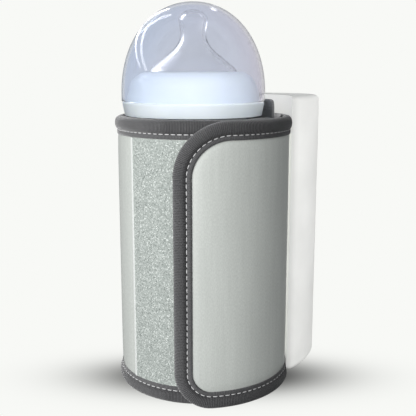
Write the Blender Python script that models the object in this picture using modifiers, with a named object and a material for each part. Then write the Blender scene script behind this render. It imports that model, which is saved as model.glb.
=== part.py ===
"""Portable bottle warmer: a padded heating sleeve that wraps round a feeding bottle, with a
hook-and-loop flap and a battery unit on its back.

Frame: metres, +Z up, the battery unit behind (+Y) and the flap's closure in front (-Y).
The pieces are built around the sleeve's own centre line, and the whole is then moved so that
the origin lies under the centre of its footprint.

The sleeve's sheets are drawn flat, as they are cut, and then wound on a spiral:
in the flat, X runs along the wrap, Y is height through the wall (0 at the outer face of the
cover, positive outwards) and Z is height above the table.
"""
import math

import bmesh
import bpy
from mathutils import Matrix, Vector

MM = 0.001

# Clearances
GAP = 0.3 * MM                      # between pieces that lie against each other
RUNNING_GAP = 0.35 * MM             # between the sleeve and the unit's recess

# Sleeve
SLEEVE_HEIGHT = 131 * MM
INNER_END_RADIUS = 37.9 * MM        # outer face of the cover where the wrap begins
INNER_END_ANGLE = math.radians(-5)  # direction of the wrap's inner end, seen from above
FLAP_ROOT_TURN = math.radians(345)  # how far round the flap's hinge line lies
FLAP_END_TURN = math.radians(436.2)
STATION = math.radians(7.5)         # one facet of the wrap
FLAT_RADIUS = 42 * MM               # turns an angle into a length in the flat
COVER_THICKNESS = 0.8 * MM
INSULATION_THICKNESS = 1.5 * MM
FILM_THICKNESS = 0.3 * MM
LINING_THICKNESS = 0.6 * MM
FLAP_INSULATION_THICKNESS = 1.0 * MM
FLAP_LINING_THICKNESS = 0.5 * MM
TAPE_THICKNESS = 0.5 * MM
TAPE_WIDTH = 8 * MM
FLAP_TOP_RADIUS = 25 * MM
FLAP_BOTTOM_RADIUS = 17 * MM
STRIP_THICKNESS = 0.55 * MM
FLAP_STACK = COVER_THICKNESS + FLAP_INSULATION_THICKNESS + FLAP_LINING_THICKNESS + 2 * GAP
OVERLAP_FITTINGS = 2 * (GAP + max(STRIP_THICKNESS, TAPE_THICKNESS))     # hook and loop, or tapes
SPIRAL_PITCH = FLAP_STACK + OVERLAP_FITTINGS + GAP  # how much the wrap grows in one turn
STRIP_MARGIN = 1.2 * MM             # from the edge tape to a hook or loop strip
LOOP_START_TURN = math.radians(26)
LOOP_END_TURN = math.radians(112)
HOOK_START_TURN = math.radians(391)
HOOK_END_TURN = math.radians(423)

# Tongue on the sleeve's back, and what fastens it to the unit
TONGUE_START_ANGLE = math.radians(36)
TONGUE_END_ANGLE = math.radians(112)
TONGUE_BOTTOM = 30 * MM
TONGUE_TOP = SLEEVE_HEIGHT + 7 * MM
TONGUE_THICKNESS = 1.2 * MM
TONGUE_CORNER_RADIUS = 4 * MM
MOUNT_SCREW_ANGLE = math.radians(17)    # either side of the back
MOUNT_SCREW_HEIGHTS = (42 * MM, 112 * MM)
MOUNT_SCREW_LENGTH = 13.5 * MM
MOUNT_BOSS_LENGTH = 7.5 * MM        # from the face of the recess
SCREW_HEAD_RADIUS = 2.3 * MM
SCREW_HEAD_HEIGHT = 1.1 * MM
SCREW_SHANK_RADIUS = 1.2 * MM
SCREW_BOSS_RADIUS = 3.4 * MM
SCREW_TIP_ROOM = 1 * MM             # between a screw's tip and the end of its hole
PROBE_ANGLE = math.radians(20)
PROBE_HEIGHT = 18 * MM
PROBE_RADIUS = 3 * MM
PROBE_THICKNESS = 1.5 * MM

# Battery unit
UNIT_HEIGHT = SLEEVE_HEIGHT + 9 * MM
UNIT_CENTRE_X = 1 * MM              # the recess is centred a little off the spiral's centre
UNIT_HALF_WIDTH = INNER_END_RADIUS + 6.35 * MM
UNIT_WIDEST_Y = INNER_END_RADIUS - 3.4 * MM
UNIT_REAR_Y = INNER_END_RADIUS + 27.1 * MM
UNIT_TIP_Y = 17 * MM
UNIT_SIDE_RADIUS = 45 * MM
UNIT_REAR_POWER = 3.2               # squareness of the rear corners
UNIT_EDGE_RADIUS = 3 * MM
UNIT_WALL = 2 * MM
CAVITY_TIP = 7 * MM                 # from the unit's front tips to its cavity
PARTING_Y = UNIT_REAR_Y - 12 * MM
CASE_SCREW_X = 14 * MM
CASE_SCREW_INSET = 12 * MM          # from the unit's top and bottom
CASE_SCREW_LENGTH = 12 * MM
CASE_SCREW_SINK = 1 * MM            # how deep a head lies below the recess's face
CASE_BOSS_LENGTH = 5.7 * MM         # the front shell's share of a boss
CELL_RADIUS = 9.25 * MM
CELL_LENGTH = 65 * MM
CELL_Y = UNIT_REAR_Y - UNIT_WALL - CELL_RADIUS - 6.75 * MM
CELL_BOTTOM = 37 * MM
BOARD_FRONT_Y = UNIT_REAR_Y - 11 * MM
BOARD_THICKNESS = 1.6 * MM
BOARD_TO_CELL = 0.75 * MM
BOARD_NECK_HALF_WIDTH = 9.5 * MM
BOARD_BOTTOM = 12 * MM
BOARD_TOP = UNIT_HEIGHT - 6 * MM
BOARD_SHOULDERS = (20 * MM, BOARD_TOP - 14 * MM)
BOARD_POST_RADIUS = 2 * MM
WINDOW_HALF_WIDTH = 15 * MM
WINDOW_BOTTOM = UNIT_HEIGHT - 51.8 * MM
WINDOW_HEIGHT = 22 * MM
WINDOW_SETBACK = 0.6 * MM
WINDOW_THICKNESS = 1.4 * MM
DISPLAY_MARGIN = 3 * MM
DISPLAY_DEPTH = 5.5 * MM
LENS_HALF_WIDTH = 6 * MM
LENS_HEIGHT = 2.4 * MM
LENS_BELOW_WINDOW = 7.4 * MM
BUTTON_HEIGHT = WINDOW_BOTTOM - 26.6 * MM
BUTTON_RADIUS = 6 * MM
BUTTON_FLANGE = 1.2 * MM
BUTTON_PROUD = 1.2 * MM
BUTTON_TRAVEL = 0.7 * MM
SWITCH_HALF_SIDE = 3 * MM
SWITCH_BODY = 1.6 * MM
SWITCH_PLUNGER = 0.7 * MM
SWITCH_PLUNGER_RADIUS = 1.6 * MM
SOCKET_Z = 24 * MM
SOCKET_WIDTH = 8.94 * MM
SOCKET_DEPTH = 3.2 * MM
SOCKET_LENGTH = 8.5 * MM
SOCKET_WALL = 0.4 * MM
SOCKET_CORNER = 1.3 * MM
LEAD_HEIGHT = 20 * MM
LEAD_RADIUS = 1.5 * MM
GROMMET_RADIUS = 3 * MM

# Bottle
BOTTLE_OFFSET = 3.7 * MM            # the bottle leans to one side of the sleeve
BOTTLE_OFFSET_ANGLE = math.radians(205)
BOTTLE_RADIUS = INNER_END_RADIUS - 7.4 * MM
BOTTLE_WALL = 2 * MM
BOTTLE_FOOT_RADIUS = 4 * MM
COLLAR_BOTTOM = SLEEVE_HEIGHT + 0.5 * MM
NECK_RADIUS = BOTTLE_RADIUS - 3.2 * MM
NECK_START = COLLAR_BOTTOM - 2 * MM
SHOULDER_START = NECK_START - 11 * MM
NECK_LENGTH = 15.5 * MM
THREAD_PITCH = 5 * MM
THREAD_TURNS = 1.25
THREAD_RADIUS = 1.2 * MM
THREAD_START = COLLAR_BOTTOM + 3 * MM
COLLAR_BORE = NECK_RADIUS + 2.4 * MM
COLLAR_RADIUS = COLLAR_BORE + 4.2 * MM
COLLAR_TOP = COLLAR_BOTTOM + 20 * MM
COLLAR_OPENING = NECK_RADIUS - 5.7 * MM
COLLAR_LEDGE = COLLAR_BOTTOM + 6 * MM
NIPPLE_FLANGE = 1.6 * MM
NIPPLE_WALL = 1.7 * MM
NIPPLE_TIP_RADIUS = 6.9 * MM
NIPPLE_HEIGHT = 29.1 * MM           # above the collar's top
CAP_RADIUS = COLLAR_RADIUS + 0.35 * MM
CAP_TOP = COLLAR_TOP + 32.2 * MM
CAP_ROUNDING = 0.95                 # 1 is a true ellipse, less is fuller
CAP_RIM = 3.2 * MM                  # straight rim below the dome
CAP_WALL = 1.3 * MM
ROUND_STEPS = 32

COLOURS = {
    "cover": ((0.46, 0.49, 0.48), 0.5, 0.0),
    "foam": ((0.75, 0.75, 0.72), 0.9, 0.0),
    "film": ((0.05, 0.05, 0.06), 0.4, 0.0),
    "lining": ((0.55, 0.57, 0.60), 0.7, 0.0),
    "tape": ((0.09, 0.09, 0.10), 0.85, 0.0),
    "loop": ((0.55, 0.60, 0.58), 0.9, 0.0),
    "hook": ((0.25, 0.26, 0.27), 0.7, 0.0),
    "white_plastic": ((0.80, 0.80, 0.79), 0.35, 0.0),
    "dark_window": ((0.03, 0.03, 0.035), 0.1, 0.0),
    "board": ((0.02, 0.20, 0.08), 0.5, 0.0),
    "cell": ((0.10, 0.28, 0.55), 0.4, 0.0),
    "steel": ((0.60, 0.60, 0.62), 0.3, 1.0),
    "black_plastic": ((0.03, 0.03, 0.03), 0.5, 0.0),
    "rubber": ((0.05, 0.05, 0.05), 0.8, 0.0),
    "clear_bottle": ((0.82, 0.88, 0.92), 0.1, 0.0),
    "collar": ((0.84, 0.89, 0.93), 0.25, 0.0),
    "silicone": ((0.85, 0.88, 0.92), 0.3, 0.0),
    "clear_cap": ((0.75, 0.80, 0.90), 0.08, 0.0),
}


# ---- Scene helpers -------------------------------------------------------------------------

def clear_scene():
    for obj in list(bpy.data.objects):
        bpy.data.objects.remove(obj)


def new_collection(name):
    collection = bpy.data.collections.new(name)
    bpy.context.scene.collection.children.link(collection)
    return collection


def make_material(name):
    colour, roughness, metallic = COLOURS[name]
    material = bpy.data.materials.new(name)
    material.use_nodes = True
    shader = material.node_tree.nodes["Principled BSDF"]
    shader.inputs["Base Color"].default_value = (*colour, 1)
    shader.inputs["Roughness"].default_value = roughness
    shader.inputs["Metallic"].default_value = metallic
    material.diffuse_color = (*colour, 1)
    return material


def add_object(name, data, collection=None):
    obj = bpy.data.objects.new(name, data)
    (collection or PARTS).objects.link(obj)
    return obj


def add_empty(name, location, parent=None):
    empty = add_object(name, None)
    empty.location = location
    empty.parent = parent
    return empty


def to_mesh(obj):
    """Replaces an object by the mesh that its modifiers or its curve make, in its world place."""
    bpy.context.view_layer.update()
    evaluated = obj.evaluated_get(bpy.context.evaluated_depsgraph_get())
    mesh = bpy.data.meshes.new_from_object(evaluated)
    mesh.transform(obj.matrix_world)
    name = obj.name
    bpy.data.objects.remove(obj)
    made = add_object(name, mesh)
    shape = bmesh.new()
    shape.from_mesh(mesh)
    bmesh.ops.remove_doubles(shape, verts=shape.verts, dist=0.00001)
    shape.to_mesh(mesh)
    shape.free()
    mesh.name = name
    return made


def combine(target, tools, operation):
    """Cuts the tools from the target, or joins them to it, and removes them."""
    for tool in tools:
        modifier = target.modifiers.new(operation.lower(), "BOOLEAN")
        modifier.operation = operation
        modifier.solver = "EXACT"
        modifier.object = tool
    made = to_mesh(target)
    for tool in tools:
        bpy.data.objects.remove(tool)
    return made


def cut(target, *tools):
    return combine(target, tools, "DIFFERENCE")


def join(target, *tools):
    return combine(target, tools, "UNION")


def finish(obj, material, parent, sharp_degrees=35):
    """Gives a piece its material and shading, and hangs it on its empty."""
    obj.data.materials.clear()
    obj.data.materials.append(MATERIALS[material])
    obj.data.shade_smooth()
    obj.data.set_sharp_from_angle(angle=math.radians(sharp_degrees))
    bpy.context.view_layer.update()
    obj.data.transform(Matrix.Translation(-parent.matrix_world.translation))
    obj.parent = parent
    return obj


# ---- Shapes --------------------------------------------------------------------------------

def box(name, low, high):
    low, high = Vector(low), Vector(high)
    shape = bmesh.new()
    bmesh.ops.create_cube(shape, size=1)
    bmesh.ops.scale(shape, vec=high - low, verts=shape.verts)
    bmesh.ops.translate(shape, vec=(low + high) / 2, verts=shape.verts)
    mesh = bpy.data.meshes.new(name)
    shape.to_mesh(mesh)
    shape.free()
    return add_object(name, mesh)


def rod(name, start, end, radius, sides=16):
    """A cylinder from one point to another."""
    start, end = Vector(start), Vector(end)
    shape = bmesh.new()
    bmesh.ops.create_cone(
        shape, cap_ends=True, segments=sides, radius1=radius, radius2=radius,
        depth=(end - start).length)
    turn = (end - start).to_track_quat("Z", "Y").to_matrix().to_4x4()
    shape.transform(Matrix.Translation((start + end) / 2) @ turn)
    mesh = bpy.data.meshes.new(name)
    shape.to_mesh(mesh)
    shape.free()
    return add_object(name, mesh)


def turned(name, profile, centre=(0, 0, 0), steps=ROUND_STEPS, closed=False):
    """A turned piece. The profile's (radius, height) points run down the outer side."""
    mesh = bpy.data.meshes.new(name)
    points = [(radius, 0, height) for radius, height in profile]
    count = len(points)
    edges = [(i, i + 1) for i in range(count - 1)] + ([(count - 1, 0)] if closed else [])
    mesh.from_pydata(points, edges, [])
    obj = add_object(name, mesh)
    obj.location = centre
    screw = obj.modifiers.new("turn", "SCREW")
    screw.steps = screw.render_steps = steps
    screw.use_merge_vertices = True
    screw.merge_threshold = 0.00005
    return to_mesh(obj)


def plate(name, outline, low, high):
    """An upright-extruded outline of (x, y) points, from one height to another."""
    curve = bpy.data.curves.new(name, "CURVE")
    curve.dimensions = "2D"
    curve.fill_mode = "BOTH"
    curve.extrude = (high - low) / 2
    spline = curve.splines.new("POLY")
    spline.points.add(len(outline) - 1)
    for point, (x, y) in zip(spline.points, outline):
        point.co = (x, y, 0, 1)
    spline.use_cyclic_u = True
    obj = add_object(name, curve)
    obj.location = (0, 0, (low + high) / 2)
    return to_mesh(obj)


def upright_plate(name, outline, ys):
    """A plate whose outline of (x, z) points stands upright, from one y to another."""
    made = plate(name, outline, ys[0], ys[1])
    made.data.transform(Matrix.Rotation(math.pi / 2, 4, "X"))
    made.data.transform(Matrix.Scale(-1, 4, (0, 1, 0)))
    made.data.flip_normals()
    return made


def rounded_rectangle(x0, x1, y0, y1, corners, steps=5):
    """Outline of a rectangle. corners holds the radius at (x0,y0), (x1,y0), (x1,y1), (x0,y1)."""
    places = ((x0, y0, 1, 1), (x1, y0, -1, 1), (x1, y1, -1, -1), (x0, y1, 1, -1))
    outline = []
    for number, ((x, y, sx, sy), radius) in enumerate(zip(places, corners)):
        if radius <= 0:
            outline.append((x, y))
            continue
        start = math.pi + number * math.pi / 2
        for step in range(steps + 1):
            angle = start + step / steps * math.pi / 2
            outline.append((x + sx * radius + radius * math.cos(angle),
                            y + sy * radius + radius * math.sin(angle)))
    return outline


# ---- The wrap ------------------------------------------------------------------------------

def cover_radius(turn):
    """Radius of the cover's outer face, by how far round the wrap has gone."""
    return INNER_END_RADIUS + SPIRAL_PITCH * turn / (2 * math.pi)


def on_wrap(turn, height_in_wall, z):
    angle = INNER_END_ANGLE - turn
    radius = cover_radius(turn) + height_in_wall
    return Vector((radius * math.cos(angle), radius * math.sin(angle), z))


def turn_at(angle):
    """How far round the wrap lies at a direction on the sleeve's back."""
    return (INNER_END_ANGLE - angle) % (2 * math.pi)


def flat(turn):
    return turn * FLAT_RADIUS


def flat_sheet(name, turns, heights, wall, corners=(0, 0, 0, 0), ends=(0, 0)):
    """A sheet in the flat. ends are set-backs of its two ends; wall is its two faces."""
    outline = rounded_rectangle(
        flat(turns[0]) + ends[0], flat(turns[1]) - ends[1], heights[0], heights[1], corners)
    return upright_plate(name, outline, wall)


def flat_hole(turn, z, radius):
    """A cutter through every layer, in the flat."""
    reach = 12 * MM
    return rod("hole", (flat(turn), -reach, z), (flat(turn), reach, z), radius, sides=12)


def wind(sheet):
    """Cuts a flat sheet at the stations and winds it on the spiral."""
    shape = bmesh.new()
    shape.from_mesh(sheet.data)
    left = min(v.co.x for v in shape.verts)
    right = max(v.co.x for v in shape.verts)
    first = math.ceil(left / flat(STATION) + 0.01)
    last = math.floor(right / flat(STATION) - 0.01)
    for number in range(first, last + 1):
        everything = shape.verts[:] + shape.edges[:] + shape.faces[:]
        bmesh.ops.bisect_plane(
            shape, geom=everything, dist=0.000001,
            plane_co=(number * flat(STATION), 0, 0), plane_no=(1, 0, 0))
    for vert in shape.verts:
        station = math.floor(vert.co.x / flat(STATION) + 0.0001)
        share = vert.co.x / flat(STATION) - station
        here = on_wrap(station * STATION, vert.co.y, vert.co.z)
        after = on_wrap((station + 1) * STATION, vert.co.y, vert.co.z)
        vert.co = here.lerp(after, max(share, 0))
    bmesh.ops.recalc_face_normals(shape, faces=shape.faces)
    shape.to_mesh(sheet.data)
    shape.free()
    return sheet


def edge_tape(name, turns, wall, corners, ends):
    """Folded tape round a sheet's edges: a frame with a slot that holds the layers.

    ends says for each end whether the tape goes round it (True) or is cut off (False)."""
    web = TAPE_THICKNESS
    over = GAP + TAPE_THICKNESS
    beyond = TAPE_WIDTH
    frame = flat_sheet(name, turns, (0, SLEEVE_HEIGHT), (wall[0] - over, wall[1] + over), corners,
                       [0 if end else GAP / 2 for end in ends])
    slot = flat_sheet(
        "slot", turns, (web, SLEEVE_HEIGHT - web), (wall[0] - GAP, wall[1] + GAP),
        [max(radius - web, 0) for radius in corners],
        [web if end else -beyond for end in ends])
    window = flat_sheet(
        "window", turns, (TAPE_WIDTH, SLEEVE_HEIGHT - TAPE_WIDTH),
        (wall[0] - 3 * over, wall[1] + 3 * over),
        [max(radius - TAPE_WIDTH, 0) for radius in corners],
        [TAPE_WIDTH if end else -beyond for end in ends])
    return wind(cut(frame, slot, window))


def stack(thicknesses):
    """Faces of layers stacked inwards from the cover's outer face, with a gap between."""
    walls, outer = [], 0
    for thickness in thicknesses:
        walls.append((outer - thickness, outer))
        outer -= thickness + GAP
    return walls


def mount_screw_places():
    return [(math.pi / 2 + side * MOUNT_SCREW_ANGLE, z)
            for side in (-1, 1) for z in MOUNT_SCREW_HEIGHTS]


def radial(angle, radius, z):
    return Vector((radius * math.cos(angle), radius * math.sin(angle), z))


def make_sleeve():
    """The fixed part of the wrap: its layers, edge tape, loop strip and tongue."""
    turns = (0, FLAP_ROOT_TURN)
    cover, insulation, film, lining = stack(
        (COVER_THICKNESS, INSULATION_THICKNESS, FILM_THICKNESS, LINING_THICKNESS))
    set_back = TAPE_THICKNESS + GAP
    heights = (set_back, SLEEVE_HEIGHT - set_back)
    layers = (("sleeve_cover", cover, "cover"), ("sleeve_insulation", insulation, "foam"),
              ("heating_film", film, "film"), ("sleeve_lining", lining, "lining"))
    lead_turn = turn_at(math.pi / 2)
    for name, wall, material in layers:
        inset = TAPE_WIDTH + GAP if name == "heating_film" else 0
        sheet = flat_sheet(name, turns, (heights[0] + inset, heights[1] - inset), wall,
                           ends=(set_back + inset, GAP / 2 + inset))
        holes = [flat_hole(turn_at(angle), z, SCREW_SHANK_RADIUS + GAP)
                 for angle, z in mount_screw_places()]
        if name in ("sleeve_cover", "sleeve_insulation"):
            holes.append(flat_hole(lead_turn, LEAD_HEIGHT, GROMMET_RADIUS + GAP))
        finish(wind(cut(sheet, *holes)), material, SLEEVE)

    wall = (lining[0], 0)
    tape = edge_tape("sleeve_binding", turns, wall, (0, 0, 0, 0), (True, False))
    finish(tape, "tape", SLEEVE)

    strip_heights = (TAPE_WIDTH + STRIP_MARGIN, SLEEVE_HEIGHT - TAPE_WIDTH - STRIP_MARGIN)
    loop = flat_sheet("loop_strip", (LOOP_START_TURN, LOOP_END_TURN), strip_heights,
                      (GAP, GAP + STRIP_THICKNESS))
    finish(wind(loop), "loop", SLEEVE)

    outer = lining[0] - TAPE_THICKNESS - 2 * GAP
    radius = TONGUE_CORNER_RADIUS
    tongue = flat_sheet(
        "mounting_tongue",
        (turn_at(TONGUE_END_ANGLE), turn_at(TONGUE_START_ANGLE)),
        (TONGUE_BOTTOM, TONGUE_TOP), (outer - TONGUE_THICKNESS, outer), (radius,) * 4)
    holes = [flat_hole(turn_at(angle), z, SCREW_SHANK_RADIUS + GAP)
             for angle, z in mount_screw_places()]
    finish(wind(cut(tongue, *holes)), "tape", SLEEVE)

    for number, (angle, z) in enumerate(mount_screw_places(), 1):
        seat = cover_radius(turn_at(angle)) + TONGUE_FACE - GAP
        head = rod("head", radial(angle, seat - SCREW_HEAD_HEIGHT, z), radial(angle, seat, z),
                   SCREW_HEAD_RADIUS, sides=12)
        shank = rod(f"mounting_screw_{number}",
                    radial(angle, seat - SCREW_HEAD_HEIGHT / 2, z),
                    radial(angle, seat + MOUNT_SCREW_LENGTH, z), SCREW_SHANK_RADIUS, sides=12)
        finish(join(shank, head), "steel", SLEEVE)

    probe_seat = cover_radius(turn_at(PROBE_ANGLE)) + lining[0] - GAP
    probe = rod("temperature_probe", radial(PROBE_ANGLE, probe_seat - PROBE_THICKNESS, PROBE_HEIGHT),
                radial(PROBE_ANGLE, probe_seat, PROBE_HEIGHT), PROBE_RADIUS)
    finish(probe, "steel", SLEEVE)
    return film[1]


def make_flap():
    """The free end of the wrap, hinged on the line where it leaves the unit's side."""
    turns = (FLAP_ROOT_TURN, FLAP_END_TURN)
    cover, insulation, lining = stack(
        (COVER_THICKNESS, FLAP_INSULATION_THICKNESS, FLAP_LINING_THICKNESS))
    set_back = TAPE_THICKNESS + GAP
    heights = (set_back, SLEEVE_HEIGHT - set_back)
    round_end = (0, FLAP_BOTTOM_RADIUS, FLAP_TOP_RADIUS, 0)
    for name, wall, material in (("flap_cover", cover, "cover"),
                                 ("flap_insulation", insulation, "foam"),
                                 ("flap_lining", lining, "lining")):
        sheet = flat_sheet(name, turns, heights, wall,
                           [max(radius - set_back, 0) for radius in round_end],
                           ends=(GAP / 2, set_back))
        finish(wind(sheet), material, FLAP)
    tape = edge_tape("flap_binding", turns, (lining[0], 0), round_end, (False, True))
    finish(tape, "tape", FLAP)
    strip_heights = (TAPE_WIDTH + STRIP_MARGIN, SLEEVE_HEIGHT - TAPE_WIDTH - STRIP_MARGIN)
    face = lining[0] - GAP
    hook = flat_sheet("hook_strip", (HOOK_START_TURN, HOOK_END_TURN), strip_heights,
                      (face - STRIP_THICKNESS, face),
                      [max(radius - TAPE_WIDTH, 0) for radius in round_end])
    finish(wind(hook), "hook", FLAP)


# ---- The battery unit ----------------------------------------------------------------------

def recess_radius():
    """Radius of the recess: it clears the edge tape on both sides of the spiral."""
    side = math.asin(UNIT_TIP_Y / UNIT_HALF_WIDTH)
    near = cover_radius(turn_at(side))
    far = cover_radius(turn_at(math.pi - side))
    return (near + far) / 2 + GAP + TAPE_THICKNESS + RUNNING_GAP


def unit_outline(inset, front):
    """Outline of the unit seen from above, drawn in by an inset and cut off at the front."""
    half = UNIT_HALF_WIDTH - inset
    side = UNIT_SIDE_RADIUS - inset
    depth = UNIT_REAR_Y - UNIT_WIDEST_Y - inset
    right = []
    side_steps = 5
    for step in range(side_steps):
        y = front + (UNIT_WIDEST_Y - front) * step / side_steps
        right.append((half - side + math.sqrt(side ** 2 - (y - UNIT_WIDEST_Y) ** 2), y))
    rear_steps = 14
    for step in range(rear_steps):
        angle = step / rear_steps * math.pi / 2
        right.append((half * math.cos(angle) ** (2 / UNIT_REAR_POWER),
                      UNIT_WIDEST_Y + depth * math.sin(angle) ** (2 / UNIT_REAR_POWER)))
    left = [(-x, y) for x, y in reversed(right)]
    rear = [(0, UNIT_WIDEST_Y + depth)]
    return [(x + UNIT_CENTRE_X, y) for x, y in right + rear + left]


def cell_x():
    """How far to each side the cells stand, so that they clear the rounded rear corners."""
    half = UNIT_HALF_WIDTH - UNIT_WALL
    depth = UNIT_REAR_Y - UNIT_WIDEST_Y - UNIT_WALL
    places = []
    for step in range(19):
        angle = step / 18 * math.pi / 2
        share = max(CELL_Y + CELL_RADIUS * math.sin(angle) - UNIT_WIDEST_Y, 0) / depth
        wall = half * (1 - share ** UNIT_REAR_POWER) ** (1 / UNIT_REAR_POWER)
        places.append(wall - CELL_RADIUS * math.cos(angle))
    return min(places) - 2 * GAP


def board_half_width():
    return cell_x() - CELL_RADIUS - BOARD_TO_CELL


def recess_cutter(radius):
    return rod("recess", (UNIT_CENTRE_X, 0, -UNIT_HEIGHT), (UNIT_CENTRE_X, 0, 2 * UNIT_HEIGHT),
               radius, sides=72)


def unit_box(name, half_width, ys, zs):
    return box(name, (UNIT_CENTRE_X - half_width, ys[0], zs[0]),
               (UNIT_CENTRE_X + half_width, ys[1], zs[1]))


def along_y(name, x, z, ys, radius, sides=16):
    return rod(name, (x, ys[0], z), (x, ys[1], z), radius, sides)


def case_screw_places():
    return [(UNIT_CENTRE_X + side * CASE_SCREW_X, z)
            for side in (-1, 1) for z in (CASE_SCREW_INSET, UNIT_HEIGHT - CASE_SCREW_INSET)]


def case_screw_seat(radius):
    """How far back the recess's face lies at the case screws, plus their sink."""
    return math.sqrt(radius ** 2 - CASE_SCREW_X ** 2) + CASE_SCREW_SINK


def window_heights():
    return WINDOW_BOTTOM, WINDOW_BOTTOM + WINDOW_HEIGHT


def lens_heights():
    return WINDOW_BOTTOM - LENS_BELOW_WINDOW, WINDOW_BOTTOM - LENS_BELOW_WINDOW + LENS_HEIGHT


def grown(limits, amount=GAP):
    return limits[0] - amount, limits[1] + amount


def make_shells(radius):
    """The unit's front shell, with the recess for the sleeve, and its rear shell."""
    whole = plate("unit", unit_outline(0, UNIT_TIP_Y), 0, UNIT_HEIGHT)
    bevel = whole.modifiers.new("edges", "BEVEL")
    bevel.width = UNIT_EDGE_RADIUS
    bevel.use_clamp_overlap = False
    bevel.segments = 3
    bevel.limit_method = "ANGLE"
    bevel.angle_limit = math.radians(60)
    whole = to_mesh(whole)
    cavity = plate("cavity", unit_outline(UNIT_WALL, UNIT_TIP_Y + CAVITY_TIP), UNIT_WALL,
                   UNIT_HEIGHT - UNIT_WALL)
    cavity = cut(cavity, recess_cutter(radius + UNIT_WALL))
    whole = cut(whole, recess_cutter(radius), cavity)
    far = 4 * UNIT_HALF_WIDTH

    front = add_object("unit_front_shell", whole.data.copy())
    front = cut(front, box("behind", (-far, PARTING_Y, -far), (far, far, far)))
    for angle, z in mount_screw_places():
        face = radius + UNIT_CENTRE_X * math.cos(angle)
        front = join(front, rod("boss", radial(angle, face + UNIT_WALL / 2, z),
                                radial(angle, face + MOUNT_BOSS_LENGTH, z), SCREW_BOSS_RADIUS))
        seat = cover_radius(turn_at(angle)) + TONGUE_FACE - GAP
        front = cut(front, rod("hole", radial(angle, face - UNIT_WALL, z),
                               radial(angle, seat + MOUNT_SCREW_LENGTH + SCREW_TIP_ROOM, z),
                               SCREW_SHANK_RADIUS + GAP, sides=12))
    seat = case_screw_seat(radius)
    under_head = seat + SCREW_HEAD_HEIGHT + GAP
    boss_end = seat - CASE_SCREW_SINK + CASE_BOSS_LENGTH
    for x, z in case_screw_places():
        front = join(front, along_y("boss", x, z, (seat + GAP, boss_end), SCREW_BOSS_RADIUS))
        front = cut(front, along_y("head", x, z, (0, under_head), SCREW_HEAD_RADIUS + GAP))
        front = cut(front, along_y("hole", x, z, (0, far), SCREW_SHANK_RADIUS + GAP, 12))
    front = cut(front, along_y("lead_hole", 0, LEAD_HEIGHT, (0, far), GROMMET_RADIUS + GAP))
    finish(front, "white_plastic", SLEEVE)

    rear = add_object("unit_rear_shell", whole.data.copy())
    bpy.data.objects.remove(whole)
    rear = cut(rear, box("ahead", (-far, -far, -far), (far, PARTING_Y + GAP, far)))
    root = UNIT_REAR_Y - UNIT_WALL / 2
    for x, z in case_screw_places():
        rear = join(rear, along_y("boss", x, z, (boss_end + GAP, root), SCREW_BOSS_RADIUS))
        tip = seat + CASE_SCREW_LENGTH + SCREW_TIP_ROOM
        rear = cut(rear, along_y("hole", x, z, (boss_end - GAP, tip), SCREW_SHANK_RADIUS + GAP, 12))
    board_rear = BOARD_FRONT_Y + BOARD_THICKNESS
    for side in (-1, 1):
        for z in BOARD_SHOULDERS:
            inward = 8 * MM if z < UNIT_HEIGHT / 2 else -8 * MM
            x = UNIT_CENTRE_X + side * (board_half_width() - 2 * BOARD_POST_RADIUS)
            rear = join(rear, along_y("post", x, z + inward, (board_rear + GAP, root),
                                      BOARD_POST_RADIUS, 12))
    through = (root - 2 * UNIT_WALL, root + 2 * UNIT_WALL)
    rear = cut(rear, unit_box("window", WINDOW_HALF_WIDTH + GAP, through, grown(window_heights())))
    rear = cut(rear, unit_box("slot", LENS_HALF_WIDTH + GAP, through, grown(lens_heights())))
    rear = cut(rear, along_y("hole", UNIT_CENTRE_X, BUTTON_HEIGHT, through,
                             BUTTON_RADIUS + RUNNING_GAP, 24))
    rear = cut(rear, upright_plate("port", socket_outline(GAP), through))
    finish(rear, "white_plastic", SLEEVE)
    return seat


def socket_outline(growth):
    half, tall = SOCKET_WIDTH / 2 + growth, SOCKET_DEPTH / 2 + growth
    corner = SOCKET_CORNER + growth
    return rounded_rectangle(UNIT_CENTRE_X - half, UNIT_CENTRE_X + half, SOCKET_Z - tall,
                             SOCKET_Z + tall, (corner,) * 4, steps=3)


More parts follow.
